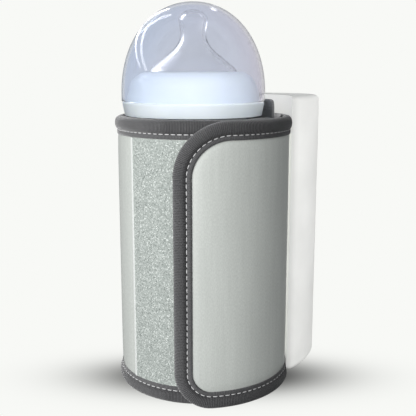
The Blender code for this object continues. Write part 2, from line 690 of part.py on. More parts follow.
def make_unit(film_face):
    """The battery unit, with what it holds."""
    radius = recess_radius()
    seat = make_shells(radius)
    for number, (x, z) in enumerate(case_screw_places(), 1):
        shank = along_y(f"case_screw_{number}", x, z,
                        (seat + SCREW_HEAD_HEIGHT / 2, seat + CASE_SCREW_LENGTH),
                        SCREW_SHANK_RADIUS, 12)
        head = along_y("head", x, z, (seat, seat + SCREW_HEAD_HEIGHT), SCREW_HEAD_RADIUS, 12)
        finish(join(shank, head), "steel", SLEEVE)

    low, high = BOARD_SHOULDERS
    neck, wide = BOARD_NECK_HALF_WIDTH, board_half_width()
    right = [(neck, BOARD_BOTTOM), (neck, low), (wide, low), (wide, high), (neck, high),
             (neck, BOARD_TOP)]
    outline = right + [(-x, z) for x, z in reversed(right)]
    board = upright_plate("circuit_board", [(x + UNIT_CENTRE_X, z) for x, z in outline],
                          (BOARD_FRONT_Y, BOARD_FRONT_Y + BOARD_THICKNESS))
    finish(board, "board", SLEEVE)
    mounted = BOARD_FRONT_Y + BOARD_THICKNESS + GAP

    for number, side in enumerate((-1, 1), 1):
        x = UNIT_CENTRE_X + side * cell_x()
        cell = rod(f"battery_cell_{number}", (x, CELL_Y, CELL_BOTTOM),
                   (x, CELL_Y, CELL_BOTTOM + CELL_LENGTH), CELL_RADIUS, sides=28)
        top = CELL_BOTTOM + CELL_LENGTH
        pole = rod("pole", (x, CELL_Y, top - MM), (x, CELL_Y, top + MM), CELL_RADIUS / 3)
        finish(join(cell, pole), "cell", SLEEVE)

    outside = UNIT_REAR_Y - WINDOW_SETBACK
    window = unit_box("display_window", WINDOW_HALF_WIDTH, (outside - WINDOW_THICKNESS, outside),
                      window_heights())
    finish(window, "dark_window", SLEEVE)
    display = unit_box("display_module", WINDOW_HALF_WIDTH - DISPLAY_MARGIN,
                       (mounted, mounted + DISPLAY_DEPTH), grown(window_heights(), -2 * MM))
    finish(display, "black_plastic", SLEEVE)
    lens = unit_box("status_lens", LENS_HALF_WIDTH, (mounted + 2 * MM, outside), lens_heights())
    finish(lens, "clear_cap", SLEEVE)

    switch = unit_box("tact_switch", SWITCH_HALF_SIDE, (mounted, mounted + SWITCH_BODY),
                      (BUTTON_HEIGHT - SWITCH_HALF_SIDE, BUTTON_HEIGHT + SWITCH_HALF_SIDE))
    plunger_top = mounted + SWITCH_BODY + SWITCH_PLUNGER
    plunger = along_y("plunger", UNIT_CENTRE_X, BUTTON_HEIGHT, (mounted + MM, plunger_top),
                      SWITCH_PLUNGER_RADIUS)
    finish(join(switch, plunger), "black_plastic", SLEEVE)

    top = UNIT_REAR_Y + BUTTON_PROUD
    flange = UNIT_REAR_Y - UNIT_WALL - 2 * GAP
    stem_end = plunger_top + BUTTON_TRAVEL + GAP / 2
    crown = 0.7 * MM
    button = turned("power_button", [
        (0, top), (BUTTON_RADIUS - 2 * crown, top), (BUTTON_RADIUS - crown / 2, top - crown / 3),
        (BUTTON_RADIUS, top - crown), (BUTTON_RADIUS, flange),
        (BUTTON_RADIUS + BUTTON_FLANGE, flange),
        (BUTTON_RADIUS + BUTTON_FLANGE, flange - BUTTON_FLANGE),
        (SWITCH_PLUNGER_RADIUS, flange - BUTTON_FLANGE), (SWITCH_PLUNGER_RADIUS, stem_end),
        (0, stem_end)])
    button.data.transform(Matrix.Rotation(-math.pi / 2, 4, "X"))
    button.data.transform(Matrix.Translation((UNIT_CENTRE_X, 0, BUTTON_HEIGHT)))
    finish(button, "collar", BUTTON)

    deep = SOCKET_LENGTH - 1.6 * MM
    mouth = mounted + SOCKET_LENGTH
    socket = upright_plate("usb_c_socket", socket_outline(0), (mounted, mouth))
    inside = upright_plate("inside", socket_outline(-SOCKET_WALL), (mouth - deep, mouth + MM))
    socket = cut(socket, inside)
    blade = unit_box("blade", SOCKET_WIDTH * 0.375, (mouth - deep - MM / 2, mouth - 1.5 * MM),
                     (SOCKET_Z - 0.35 * MM, SOCKET_Z + 0.35 * MM))
    finish(join(socket, blade), "steel", SLEEVE)

    start = cover_radius(turn_at(math.pi / 2)) + film_face + GAP
    lead = along_y("heater_lead", 0, LEAD_HEIGHT, (start, BOARD_FRONT_Y - GAP), LEAD_RADIUS)
    finish(lead, "black_plastic", SLEEVE)
    grommet = along_y("lead_grommet", 0, LEAD_HEIGHT, (start + 2 * GAP, radius + 2 * UNIT_WALL),
                      GROMMET_RADIUS)
    bore = along_y("bore", 0, LEAD_HEIGHT, (0, UNIT_REAR_Y), LEAD_RADIUS + GAP)
    finish(cut(grommet, bore), "rubber", SLEEVE)


# ---- The bottle ----------------------------------------------------------------------------

def inside_of(profile, wall):
    """The profile set in by the wall's thickness, running back up."""
    inner = []
    for number, (radius, height) in enumerate(profile):
        before = profile[max(number - 1, 0)]
        after = profile[min(number + 1, len(profile) - 1)]
        along, down = after[0] - before[0], after[1] - before[1]
        length = math.hypot(along, down)
        if number == 0:
            inner.append((0, height - wall))
        else:
            inner.append((radius + wall * down / length, height - wall * along / length))
    return inner[::-1]


def thread(name, centre, radius, start):
    """A thread's round ridge, to be joined to a neck or a collar."""
    curve = bpy.data.curves.new(name, "CURVE")
    curve.dimensions = "3D"
    curve.bevel_depth = THREAD_RADIUS
    curve.bevel_resolution = 1
    curve.use_fill_caps = True
    steps = round(THREAD_TURNS * 24)
    spline = curve.splines.new("POLY")
    spline.points.add(steps)
    for step, point in enumerate(spline.points):
        turn = THREAD_TURNS * step / steps
        angle = turn * 2 * math.pi
        point.co = (centre[0] + radius * math.cos(angle), centre[1] + radius * math.sin(angle),
                    start + turn * THREAD_PITCH, 1)
    return to_mesh(add_object(name, curve))


def make_bottle():
    """The bottle with its collar, nipple and cap."""
    centre = radial(BOTTLE_OFFSET_ANGLE, BOTTLE_OFFSET, 0)
    neck_top = NECK_START + NECK_LENGTH
    foot = BOTTLE_FOOT_RADIUS
    diagonal = foot * (1 - math.sqrt(0.5))
    outside = [
        (NECK_RADIUS, neck_top), (NECK_RADIUS, NECK_START),
        (NECK_RADIUS + 0.3 * MM, NECK_START - 1.5 * MM),
        (BOTTLE_RADIUS - 0.7 * MM, SHOULDER_START + 4 * MM), (BOTTLE_RADIUS, SHOULDER_START),
        (BOTTLE_RADIUS, foot), (BOTTLE_RADIUS - diagonal, diagonal),
        (BOTTLE_RADIUS - foot, 0), (0, 0)]
    inner = BOTTLE_RADIUS - BOTTLE_WALL
    inside = [
        (0, BOTTLE_WALL), (inner - foot, BOTTLE_WALL),
        (inner - diagonal, BOTTLE_WALL + diagonal), (inner, BOTTLE_WALL + foot),
        (inner, SHOULDER_START), (inner - 0.7 * MM, SHOULDER_START + 4 * MM),
        (NECK_RADIUS + 0.3 * MM - BOTTLE_WALL, NECK_START - 1.5 * MM),
        (NECK_RADIUS - BOTTLE_WALL, NECK_START), (NECK_RADIUS - BOTTLE_WALL, neck_top)]
    body = turned("bottle_body", inside + outside, centre)
    body = join(body, thread("thread", centre, NECK_RADIUS + 0.2 * MM, THREAD_START))
    finish(body, "clear_bottle", BOTTLE)

    flange_bottom = neck_top + GAP
    flange_top = flange_bottom + NIPPLE_FLANGE
    throat = COLLAR_OPENING - 0.7 * MM
    top = COLLAR_TOP + NIPPLE_HEIGHT
    tip = NIPPLE_TIP_RADIUS
    outer = [
        (0, top), (tip * 0.5, top - tip * 0.12), (tip * 0.85, top - tip * 0.34),
        (tip, top - tip * 0.68), (tip * 0.96, top - tip * 1.06), (tip * 0.9, top - tip * 1.42),
        (tip * 0.9, top - tip * 1.75), (tip * 0.97, top - tip * 2.12),
        (tip * 1.22, top - tip * 2.55), (tip * 1.58, top - tip * 2.91),
        (tip * 2.05, top - tip * 3.29), (throat, COLLAR_TOP - 0.5 * MM),
        (throat, flange_top), (NECK_RADIUS + 1 * MM, flange_top),
        (NECK_RADIUS + 1 * MM, flange_bottom)]
    inner_points = inside_of(outer[:12] + [(throat, flange_bottom)], NIPPLE_WALL)
    finish(turned("nipple", outer + inner_points, centre), "silicone", NIPPLE)

    ceiling = flange_top + GAP
    seat = NECK_RADIUS + 1.3 * MM
    collar = turned("collar", [
        (COLLAR_OPENING, COLLAR_TOP), (COLLAR_RADIUS - 10.7 * MM, COLLAR_TOP),
        (COLLAR_RADIUS - 7.4 * MM, COLLAR_TOP - 1.6 * MM),
        (COLLAR_RADIUS - 5.1 * MM, COLLAR_TOP - 3.6 * MM),
        (COLLAR_RADIUS - 3.2 * MM, COLLAR_TOP - 7.8 * MM), (COLLAR_RADIUS - 2 * MM, COLLAR_LEDGE),
        (COLLAR_RADIUS, COLLAR_LEDGE), (COLLAR_RADIUS, COLLAR_LEDGE - 1 * MM),
        (COLLAR_RADIUS - 1.3 * MM, COLLAR_BOTTOM), (COLLAR_BORE, COLLAR_BOTTOM),
        (COLLAR_BORE, ceiling - 3.7 * MM), (seat, flange_bottom - 0.2 * MM),
        (seat, ceiling), (COLLAR_OPENING, ceiling)],
        centre, closed=True)
    ridge = thread("thread", centre, COLLAR_BORE - 0.2 * MM, THREAD_START + THREAD_PITCH / 2)
    finish(join(collar, ridge), "collar", COLLAR)

    bottom = COLLAR_LEDGE + GAP
    spring = bottom + CAP_RIM
    dome_steps = 11
    dome = []
    for step in range(dome_steps + 1):
        angle = step / dome_steps * math.pi / 2
        dome.append((CAP_RADIUS * math.sin(angle) ** CAP_ROUNDING,
                     spring + (CAP_TOP - spring) * max(math.cos(angle), 0) ** CAP_ROUNDING))
    dome.append((CAP_RADIUS, bottom))
    finish(turned("bottle_cap", dome + inside_of(dome, CAP_WALL), centre), "clear_cap", CAP)


def centre_on_origin(root):
    """Moves the whole so that the origin lies under the middle of its footprint."""
    bpy.context.view_layer.update()
    corners = [obj.matrix_world @ Vector(corner)
               for obj in PARTS.objects if obj.type == "MESH" for corner in obj.bound_box]
    for axis in (0, 1):
        values = [corner[axis] for corner in corners]
        root.location[axis] -= (min(values) + max(values)) / 2


clear_scene()
PARTS = new_collection("bottle_warmer")
MATERIALS = {name: make_material(name) for name in COLOURS}
TONGUE_FACE = (-COVER_THICKNESS - INSULATION_THICKNESS - FILM_THICKNESS - LINING_THICKNESS
               - TAPE_THICKNESS - TONGUE_THICKNESS - 5 * GAP)
ROOT = add_empty("warmer_origin", (0, 0, 0))
SLEEVE = add_empty("sleeve_frame", (0, 0, 0), ROOT)
FLAP = add_empty("flap_hinge", on_wrap(FLAP_ROOT_TURN, GAP + TAPE_THICKNESS, 0), ROOT)
BOTTLE = add_empty("bottle_axis", radial(BOTTLE_OFFSET_ANGLE, BOTTLE_OFFSET, 0), ROOT)
NIPPLE = add_empty("nipple_axis", (0, 0, NECK_START + NECK_LENGTH), BOTTLE)
COLLAR = add_empty("collar_axis", (0, 0, COLLAR_BOTTOM - NECK_START - NECK_LENGTH), NIPPLE)
CAP = add_empty("cap_axis", (0, 0, COLLAR_LEDGE - COLLAR_BOTTOM), COLLAR)
BUTTON = add_empty("button_axis", (UNIT_CENTRE_X, UNIT_REAR_Y, BUTTON_HEIGHT), SLEEVE)
make_unit(make_sleeve())
make_flap()
make_bottle()
centre_on_origin(ROOT)
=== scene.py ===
import math

import bmesh
import bpy
import numpy as np
from mathutils import Matrix, Vector


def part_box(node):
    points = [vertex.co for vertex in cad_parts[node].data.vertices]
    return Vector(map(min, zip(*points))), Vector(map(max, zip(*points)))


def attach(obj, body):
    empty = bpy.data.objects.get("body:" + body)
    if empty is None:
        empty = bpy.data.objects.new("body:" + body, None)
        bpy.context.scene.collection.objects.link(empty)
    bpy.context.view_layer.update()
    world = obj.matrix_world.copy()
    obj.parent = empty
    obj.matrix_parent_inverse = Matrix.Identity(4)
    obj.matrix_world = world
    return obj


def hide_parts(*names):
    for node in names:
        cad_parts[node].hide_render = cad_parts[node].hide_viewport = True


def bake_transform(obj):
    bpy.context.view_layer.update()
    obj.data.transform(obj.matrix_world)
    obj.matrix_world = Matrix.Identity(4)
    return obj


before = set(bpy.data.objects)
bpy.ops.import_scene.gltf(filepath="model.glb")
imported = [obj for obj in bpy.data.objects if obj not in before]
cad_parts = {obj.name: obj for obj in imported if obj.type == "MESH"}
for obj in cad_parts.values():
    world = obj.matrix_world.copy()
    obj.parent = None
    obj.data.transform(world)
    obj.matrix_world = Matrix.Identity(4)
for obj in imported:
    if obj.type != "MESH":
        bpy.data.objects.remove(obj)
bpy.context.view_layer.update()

MM = 0.001

# ---- Sizes the pieces share, as the warmer is cut --------------------------------------------

INNER_END_RADIUS = 37.9 * MM
SPIRAL_PITCH = 4.9 * MM
INNER_END_ANGLE = math.radians(-5)
FLAP_END_TURN = math.radians(436.2)
SPLIT_TURN = math.radians(330.5)    # fixed and swinging covers meet behind the unit's side
FLAT_RADIUS = 42 * MM
FIXED_STACK = 4.1 * MM              # cover to lining, fixed part
FLAP_STACK = 2.9 * MM
TAPE_WIDTH = 8.3 * MM
STITCH_LINE = 6.1 * MM              # from the edge
FLAP_TOP_CORNER = 25 * MM
FLAP_BOTTOM_CORNER = 17 * MM
LOOP_TURNS = (math.radians(26), math.radians(112))
HOOK_TURNS = (math.radians(391), math.radians(423))
COVER_MARGIN = 0.4 * MM             # the leather stops short of the tape's fold
LEATHER_THICKNESS = 0.8 * MM
LINING_FACE = -3.5 * MM             # in from the cover's face
LINING_MARGIN = 1.2 * MM
HOOK_MARGIN = 9.2 * MM
LOOP_MARGIN = 8.45 * MM
BOTTLE_OFFSET = 3.7 * MM
BOTTLE_OFFSET_ANGLE = math.radians(205)
VIEW_TURN = math.radians(25)        # the camera stands this far round from the flap's middle

low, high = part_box("bottle_body")
AXIS = Vector(((low.x + high.x) / 2, (low.y + high.y) / 2, 0))
CENTRE = AXIS - BOTTLE_OFFSET * Vector((math.cos(BOTTLE_OFFSET_ANGLE), math.sin(BOTTLE_OFFSET_ANGLE), 0))
SLEEVE_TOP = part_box("sleeve_binding")[1].z


# ---- Meshes ----------------------------------------------------------------------------------

def link(obj):
    bpy.context.scene.collection.objects.link(obj)
    return obj


def mesh_object(name, points, faces, uvs=None):
    """A mesh object from points and faces; uvs holds one (u, v) a point."""
    mesh = bpy.data.meshes.new(name)
    mesh.from_pydata([tuple(p) for p in points], [], [tuple(f) for f in faces])
    if uvs is not None:
        layer = mesh.uv_layers.new(name="flat")
        picked = np.zeros(len(mesh.loops), np.int32)
        mesh.loops.foreach_get("vertex_index", picked)
        layer.data.foreach_set("uv", np.asarray(uvs, np.float32)[picked].ravel())
    mesh.shade_smooth()
    return link(bpy.data.objects.new(name, mesh))


def tidy(obj, sharp, distance=1e-6):
    """Merges doubles and turns the faces outwards; edges bent more than sharp degrees stay crisp."""
    shape = bmesh.new()
    shape.from_mesh(obj.data)
    bmesh.ops.remove_doubles(shape, verts=shape.verts, dist=distance)
    bmesh.ops.dissolve_degenerate(shape, edges=shape.edges, dist=distance)
    bmesh.ops.recalc_face_normals(shape, faces=shape.faces)
    shape.to_mesh(obj.data)
    shape.free()
    obj.data.shade_smooth()
    obj.data.set_sharp_from_angle(angle=math.radians(sharp))
    return obj


def turned(name, profile, steps):
    """A turned piece on the bottle's axis from (radius, height) points."""
    points, faces = [], []
    rows = len(profile)
    for radius, height in profile:
        for step in range(steps):
            angle = 2 * math.pi * step / steps
            points.append((AXIS.x + radius * math.cos(angle), AXIS.y + radius * math.sin(angle), height))
    for row in range(rows - 1):
        a, b = row * steps, (row + 1) * steps
        for step in range(steps):
            after = (step + 1) % steps
            faces.append((a + step, b + step, b + after, a + after))
    uvs = [(step / steps, profile[row][1]) for row in range(rows) for step in range(steps)]
    return tidy(mesh_object(name, points, faces, uvs), 50)


def rounded(points, radius, steps):
    """Rounds the corners of a (radius, height) profile. radius may be one value or a list."""
    radii = radius if isinstance(radius, (list, tuple)) else [radius] * len(points)
    made = []
    for number, point in enumerate(points):
        if number in (0, len(points) - 1) or radii[number] <= 0:
            made.append(point)
            continue
        here = Vector(point)
        before, after = Vector(points[number - 1]), Vector(points[number + 1])
        reach = min(radii[number], (before - here).length * 0.49, (after - here).length * 0.49)
        start = here + (before - here).normalized() * reach
        end = here + (after - here).normalized() * reach
        for step in range(steps + 1):
            t = step / steps
            made.append(tuple(start * (1 - t) ** 2 + here * 2 * t * (1 - t) + end * t ** 2))
    return made


def smooth_curve(points, steps):
    """A Catmull-Rom curve through the points."""
    points = [Vector(p) for p in points]
    padded = [points[0] * 2 - points[1]] + points + [points[-1] * 2 - points[-2]]
    made = []
    for number in range(1, len(padded) - 2):
        a, b, c, d = padded[number - 1:number + 3]
        for step in range(steps):
            t = step / steps
            made.append(0.5 * (2 * b + (c - a) * t + (2 * a - 5 * b + 4 * c - d) * t ** 2
                               + (3 * b - a - 3 * c + d) * t ** 3))
    return [tuple(p) for p in made + [points[-1]]]


def inset(profile, wall):
    """The inner side of a turned wall, running back."""
    inner = []
    for number, (radius, height) in enumerate(profile):
        before = profile[max(number - 1, 0)]
        after = profile[min(number + 1, len(profile) - 1)]
        along, down = after[0] - before[0], after[1] - before[1]
        length = math.hypot(along, down) or 1
        if radius < 1e-6:
            inner.append((0, height - wall))
        else:
            inner.append((max(radius + wall * down / length, 0), height - wall * along / length))
    return inner[::-1]


def refined(node, width, segments=2):
    """A finer copy of a CAD node, with softened edges, that stands for it."""
    name = node + "_finish"
    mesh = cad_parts[node].data.copy()
    mesh.name = name
    obj = link(bpy.data.objects.new(name, mesh))
    shape = bmesh.new()
    shape.from_mesh(mesh)
    bmesh.ops.remove_doubles(shape, verts=shape.verts, dist=1e-6)
    bmesh.ops.dissolve_limit(shape, angle_limit=math.radians(0.6), verts=shape.verts, edges=shape.edges)
    shape.to_mesh(mesh)
    shape.free()
    bevel = obj.modifiers.new("soft_edges", "BEVEL")
    bevel.width = width
    bevel.segments = segments
    bevel.limit_method = "ANGLE"
    bevel.angle_limit = math.radians(35)
    bevel.harden_normals = False
    obj = baked(obj)
    obj.data.shade_smooth()
    obj.data.set_sharp_from_angle(angle=math.radians(40))
    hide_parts(node)
    return obj


def baked(obj):
    """The object with its modifiers made mesh, standing at the origin."""
    bpy.context.view_layer.update()
    evaluated = obj.evaluated_get(bpy.context.evaluated_depsgraph_get())
    mesh = bpy.data.meshes.new_from_object(evaluated)
    mesh.transform(obj.matrix_world)
    name = obj.name
    bpy.data.objects.remove(obj)
    mesh.name = name
    return link(bpy.data.objects.new(name, mesh))


# ---- The wrap --------------------------------------------------------------------------------

def on_wrap(turn, out, z):
    """Points on the wound sleeve: how far round, how far out of the cover's face, how high."""
    radius = INNER_END_RADIUS + SPIRAL_PITCH * turn / (2 * math.pi) + out
    angle = INNER_END_ANGLE - turn
    return np.stack([CENTRE.x + radius * np.cos(angle), CENTRE.y + radius * np.sin(angle),
                     np.broadcast_to(z, np.shape(radius))], -1)


def off_wrap(points, near_turn):
    """The turn, out and height of points in space, on the lap that near_turn begins."""
    away = points - np.array([CENTRE.x, CENTRE.y, 0])
    turn = np.mod(INNER_END_ANGLE - np.arctan2(away[:, 1], away[:, 0]), 2 * math.pi)
    turn += 2 * math.pi * (near_turn > 2 * math.pi)
    radius = INNER_END_RADIUS + SPIRAL_PITCH * turn / (2 * math.pi)
    return turn, np.hypot(away[:, 0], away[:, 1]) - radius, points[:, 2]


def smoothstep(low_edge, high_edge, value):
    t = np.clip((value - low_edge) / (high_edge - low_edge), 0, 1)
    return t * t * (3 - 2 * t)


def fullness(turn):
    """How plump the tape may be: flat under the flap and in the unit's recess."""
    degrees = np.degrees(turn)
    left = smoothstep(77, 84, degrees) * (1 - smoothstep(176, 192, degrees))
    return np.maximum(left, smoothstep(335, 346, degrees))


def flap_corner(z):
    return np.where(z > SLEEVE_TOP / 2, FLAP_TOP_CORNER, FLAP_BOTTOM_CORNER)


def flap_end(z, set_back):
    """Where a row of the flap ends: its corners are round."""
    radius = flap_corner(z) - set_back
    depth = np.minimum(z - set_back, SLEEVE_TOP - set_back - z)
    depth = np.clip(depth, 0, radius)
    corner = radius - np.sqrt(np.maximum(radius ** 2 - (radius - depth) ** 2, 0))
    return FLAP_END_TURN * FLAT_RADIUS - set_back - corner


def edge_distance(along, z, margin):
    """Distance in from the tape's inner edge on the flap, negative under the tape."""
    radius = flap_corner(z) - margin
    half = SLEEVE_TOP / 2 - margin
    end = FLAP_END_TURN * FLAT_RADIUS - margin
    dx = along - (end - radius)
    dz = np.abs(z - SLEEVE_TOP / 2) - (half - radius)
    outside = np.hypot(np.maximum(dx, 0), np.maximum(dz, 0)) + np.minimum(np.maximum(dx, dz), 0)
    return radius - outside


def closed_sheet(name, outer, inner, uvs, sharp):
    """A closed sheet from two grids of points, its two sides; uvs holds each grid point's flat map."""
    count_z, count_a = outer.shape[:2]
    size = count_z * count_a
    faces = []
    for row in range(count_z - 1):
        for column in range(count_a - 1):
            a = row * count_a + column
            faces.append((a, a + count_a, a + count_a + 1, a + 1))
            faces.append((size + a, size + a + 1, size + a + count_a + 1, size + a + count_a))
    rim = (list(range(count_a))
           + [row * count_a + count_a - 1 for row in range(1, count_z)]
           + [(count_z - 1) * count_a + column for column in range(count_a - 2, -1, -1)]
           + [row * count_a for row in range(count_z - 2, 0, -1)])
    for a, b in zip(rim, rim[1:] + rim[:1]):
        faces.append((a, b, size + b, size + a))
    points = np.concatenate([outer.reshape(-1, 3), inner.reshape(-1, 3)])
    flat = uvs.reshape(-1, 2)
    return tidy(mesh_object(name, points, faces, np.concatenate([flat, flat])), sharp)


def panel(name, along_rows, heights, face, thickness, columns, inner_face=lambda along: 0):
    """A closed wound panel. along_rows(z) gives a row's two ends in the flat; face(along, z)
    is how far its outer side stands out, and its inner side lies the thickness behind
    inner_face(along)."""
    shares = np.linspace(0, 1, columns + 1)
    rows = []
    for z in heights:
        start, end = along_rows(z)
        rows.append(start + (end - start) * shares)
    along = np.array(rows)
    z = np.repeat(np.array(heights)[:, None], columns + 1, 1)
    out = face(along, z)
    outer = on_wrap(along / FLAT_RADIUS, out, z)
    inner = on_wrap(along / FLAT_RADIUS, inner_face(along) - thickness, z)
    return closed_sheet(name, outer, inner, np.stack([along, z], -1), 50)


def edge_path(start, end):
    """The flap's edge in the flat: (along, z, inward along, inward z, corner) rows. It goes
    along the top to the end, down round it and back along the bottom."""
    step, bend_step = 1.5 * MM, 0.7 * MM
    rows = []
    for z, corner in ((SLEEVE_TOP, FLAP_TOP_CORNER), (0, FLAP_BOTTOM_CORNER)):
        sign = 1 if z else -1
        count = int((end - start - corner) / step)
        run = [(start + (end - start - corner) * number / count, z, 0, -sign, corner)
               for number in range(count)]
        arc = int(corner * math.pi / 2 / bend_step)
        bend = [(end, z, -math.cos(angle), -sign * math.sin(angle), corner)
                for angle in (math.pi / 2 * (1 - number / arc) for number in range(arc + 1))]
        if sign < 0:
            low_end, top_end = FLAP_BOTTOM_CORNER, SLEEVE_TOP - FLAP_TOP_CORNER
            count = int((top_end - low_end) / step)
            rows += [(end, top_end - (top_end - low_end) * number / count, -1, 0, 0)
                     for number in range(1, count)]
            rows += (run + bend)[::-1]
        else:
            rows += run + bend
    return rows


def on_edge(row, inward):
    """The flat point a distance in from the edge at a row of edge_path."""
    along, z, step_a, step_z, corner = row
    if step_a == 0 or step_z == 0 and corner == 0:
        return along + step_a * inward, z + step_z * inward
    keep = max(corner, inward)
    centre_a = along - keep if step_a or corner else along
    centre_z = z - keep if z > SLEEVE_TOP / 2 else z + keep
    reach = max(corner - inward, 0)
    return centre_a - step_a * reach, centre_z - step_z * reach


def tape_section(stack, plump):
    """The folded tape across its width: (inward, out) down its outer leg, round the edge and
    back along its inner leg."""
    swell = 0.75 * MM * plump
    outer = [
        (TAPE_WIDTH, 0.22 * MM), (TAPE_WIDTH - 0.1 * MM, 0.42 * MM), (7.6 * MM, 0.5 * MM),
        (6.7 * MM, 0.48 * MM + 0.15 * swell), (STITCH_LINE + 0.25 * MM, 0.38 * MM),
        (STITCH_LINE, 0.3 * MM), (STITCH_LINE - 0.3 * MM, 0.42 * MM + 0.2 * swell),
        (5.2 * MM, 0.62 * MM + 0.65 * swell), (4.2 * MM, 0.74 * MM + 0.95 * swell),
        (3.0 * MM, 0.8 * MM + swell), (1.8 * MM, 0.76 * MM + 0.85 * swell),
        (0.8 * MM, 0.5 * MM + 0.5 * swell), (0.15 * MM, -0.15 * MM), (-0.12 * MM * plump, -0.9 * MM)]
    back = -stack
    outer += [
        (-0.15 * MM * plump, (back - 0.6 * MM) / 2), (0.0, back + 0.6 * MM), (0.25 * MM, back - 0.1 * MM),
        (0.9 * MM, back - 0.55 * MM), (2.2 * MM, back - 0.72 * MM), (5.0 * MM, back - 0.74 * MM),
        (STITCH_LINE, back - 0.7 * MM), (7.6 * MM, back - 0.74 * MM), (TAPE_WIDTH, back - 0.62 * MM),
        (TAPE_WIDTH, back - 0.34 * MM)]
    inner = []
    for number, point in enumerate(outer):
        before, after = outer[max(number - 1, 0)], outer[min(number + 1, len(outer) - 1)]
        along, out = after[0] - before[0], after[1] - before[1]
        length = math.hypot(along, out)
        inner.append((point[0] - 0.3 * MM * out / length, point[1] + 0.3 * MM * along / length))
    inner[0], inner[-1] = (TAPE_WIDTH - 0.05 * MM, 0.08 * MM), (TAPE_WIDTH - 0.05 * MM, back - 0.14 * MM)
    return outer, inner[::-1]


def edge_tape(name, rows, stack):
    """The ribbed tape folded over a panel's edge, along a path in the flat."""
    points, uvs = [], []
    run, last = 0, None
    for row in rows:
        middle = Vector(on_edge(row, 4 * MM))
        run += (middle - last).length if last is not None else 0
        last = middle
        here = on_edge(row, 3 * MM)
        plump = float(fullness(np.array(here[0] / FLAT_RADIUS)))
        outer, inner = tape_section(stack, plump)
        width = 0
        before = None
        for inward, out in outer + inner:
            along, z = on_edge(row, inward)
            points.append(on_wrap(np.array(along / FLAT_RADIUS), out, z))
            width += math.dist(before, (inward, out)) if before else 0
            before = (inward, out)
            uvs.append((run, width))
    ring = len(outer) + len(inner)
    faces = []
    for number in range(len(rows) - 1):
        for step in range(ring):
            a, b = number * ring + step, number * ring + (step + 1) % ring
            faces.append((a, b, b + ring, a + ring))
    last = (len(rows) - 1) * ring
    for step in range(len(outer) - 1):
        mate = ring - 1 - step
        faces.append((step, mate, mate - 1, step + 1))
        faces.append((last + step, last + step + 1, last + mate - 1, last + mate))
    return tidy(mesh_object(name, points, faces, uvs), 60, 2e-6)


# ---- Shader nodes ----------------------------------------------------------------------------

def node(tree, kind, inputs=None, **settings):
    """A node with its settings and inputs; an input is a value or another node's socket."""
    made = tree.nodes.new(kind)
    for name, value in settings.items():
        setattr(made, name, value)
    for key, value in (inputs or {}).items():
        if isinstance(value, bpy.types.NodeSocket):
            tree.links.new(value, made.inputs[key])
        else:
            made.inputs[key].default_value = value
    return made


def calc(tree, operation, first, second=0.0):
    return node(tree, "ShaderNodeMath", {0: first, 1: second}, operation=operation).outputs[0]


def between(tree, value, low_in, high_in, low_out=0.0, high_out=1.0):
    return node(tree, "ShaderNodeMapRange", {"Value": value, "From Min": low_in, "From Max": high_in,
                                             "To Min": low_out, "To Max": high_out}).outputs[0]


def mixed(tree, share, first, second):
    made = node(tree, "ShaderNodeMix", {"Factor": share}, data_type="RGBA")
    for socket, value in ((made.inputs[6], first), (made.inputs[7], second)):
        if isinstance(value, bpy.types.NodeSocket):
            tree.links.new(value, socket)
        else:
            socket.default_value = value
    return made.outputs[2]


def noise(tree, where, scale, detail=2.0, rough=0.5):
    return node(tree, "ShaderNodeTexNoise", {"Vector": where, "Scale": scale, "Detail": detail,
                                             "Roughness": rough}).outputs[0]


def placed(tree, scale=(1, 1, 1), uv=False):
    """Object coordinates, or the piece's flat map, stretched."""
    source = node(tree, "ShaderNodeTexCoord").outputs["UV" if uv else "Object"]
    return node(tree, "ShaderNodeMapping", {"Vector": source, "Scale": scale}).outputs[0]


def paint(red, green, blue):
    """A colour given in display values from 0 to 255."""
    def linear(value):
        value /= 255
        return value / 12.92 if value <= 0.04045 else ((value + 0.055) / 1.055) ** 2.4
    return (linear(red), linear(green), linear(blue), 1)


def material(name, **sockets):
    """A material whose Principled sockets are set; returns it with its tree and shader."""
    made = bpy.data.materials.new(name)
    made.use_nodes = True
    tree = made.node_tree
    shader = tree.nodes["Principled BSDF"]
    for key, value in sockets.items():
        shader.inputs[key.replace("_", " ")].default_value = value
    return made, tree, shader


def bumped(tree, shader, height, strength, distance):
    bump = node(tree, "ShaderNodeBump", {"Height": height, "Strength": strength, "Distance": distance})
    tree.links.new(bump.outputs[0], shader.inputs["Normal"])


def group(name, inputs, outputs):
    """A shared node group; returns its tree, its input sockets and its output node."""
    tree = bpy.data.node_groups.new(name, "ShaderNodeTree")
    for label, kind, value in inputs:
        socket = tree.interface.new_socket(label, in_out="INPUT", socket_type=kind)
        if value is not None:
            socket.default_value = value
    for label, kind in outputs:
        tree.interface.new_socket(label, in_out="OUTPUT", socket_type=kind)
    return tree, tree.nodes.new("NodeGroupInput").outputs, tree.nodes.new("NodeGroupOutput").inputs


def weave_group():
    """Woven threads over and under each other, by the flat map: how high, and a tone."""
    tree, given, put = group("weave",
                             [("Vector", "NodeSocketVector", None), ("Pitch", "NodeSocketFloat", 0.0005)],
                             [("Height", "NodeSocketFloat"), ("Tone", "NodeSocketFloat")])
    place = node(tree, "ShaderNodeSeparateXYZ", {0: given["Vector"]}).outputs
    across = calc(tree, "DIVIDE", place[0], given["Pitch"])
    along = calc(tree, "DIVIDE", place[1], given["Pitch"])
    warp = calc(tree, "SINE", calc(tree, "MULTIPLY", across, math.pi))
    weft = calc(tree, "SINE", calc(tree, "MULTIPLY", along, math.pi))
    over = calc(tree, "MULTIPLY", warp, weft)
    under = calc(tree, "MULTIPLY", over, -0.8)
    tree.links.new(calc(tree, "MAXIMUM", over, under), put["Height"])
    tree.links.new(noise(tree, given["Vector"], 900.0, 3.0, 0.6), put["Tone"])
    return tree


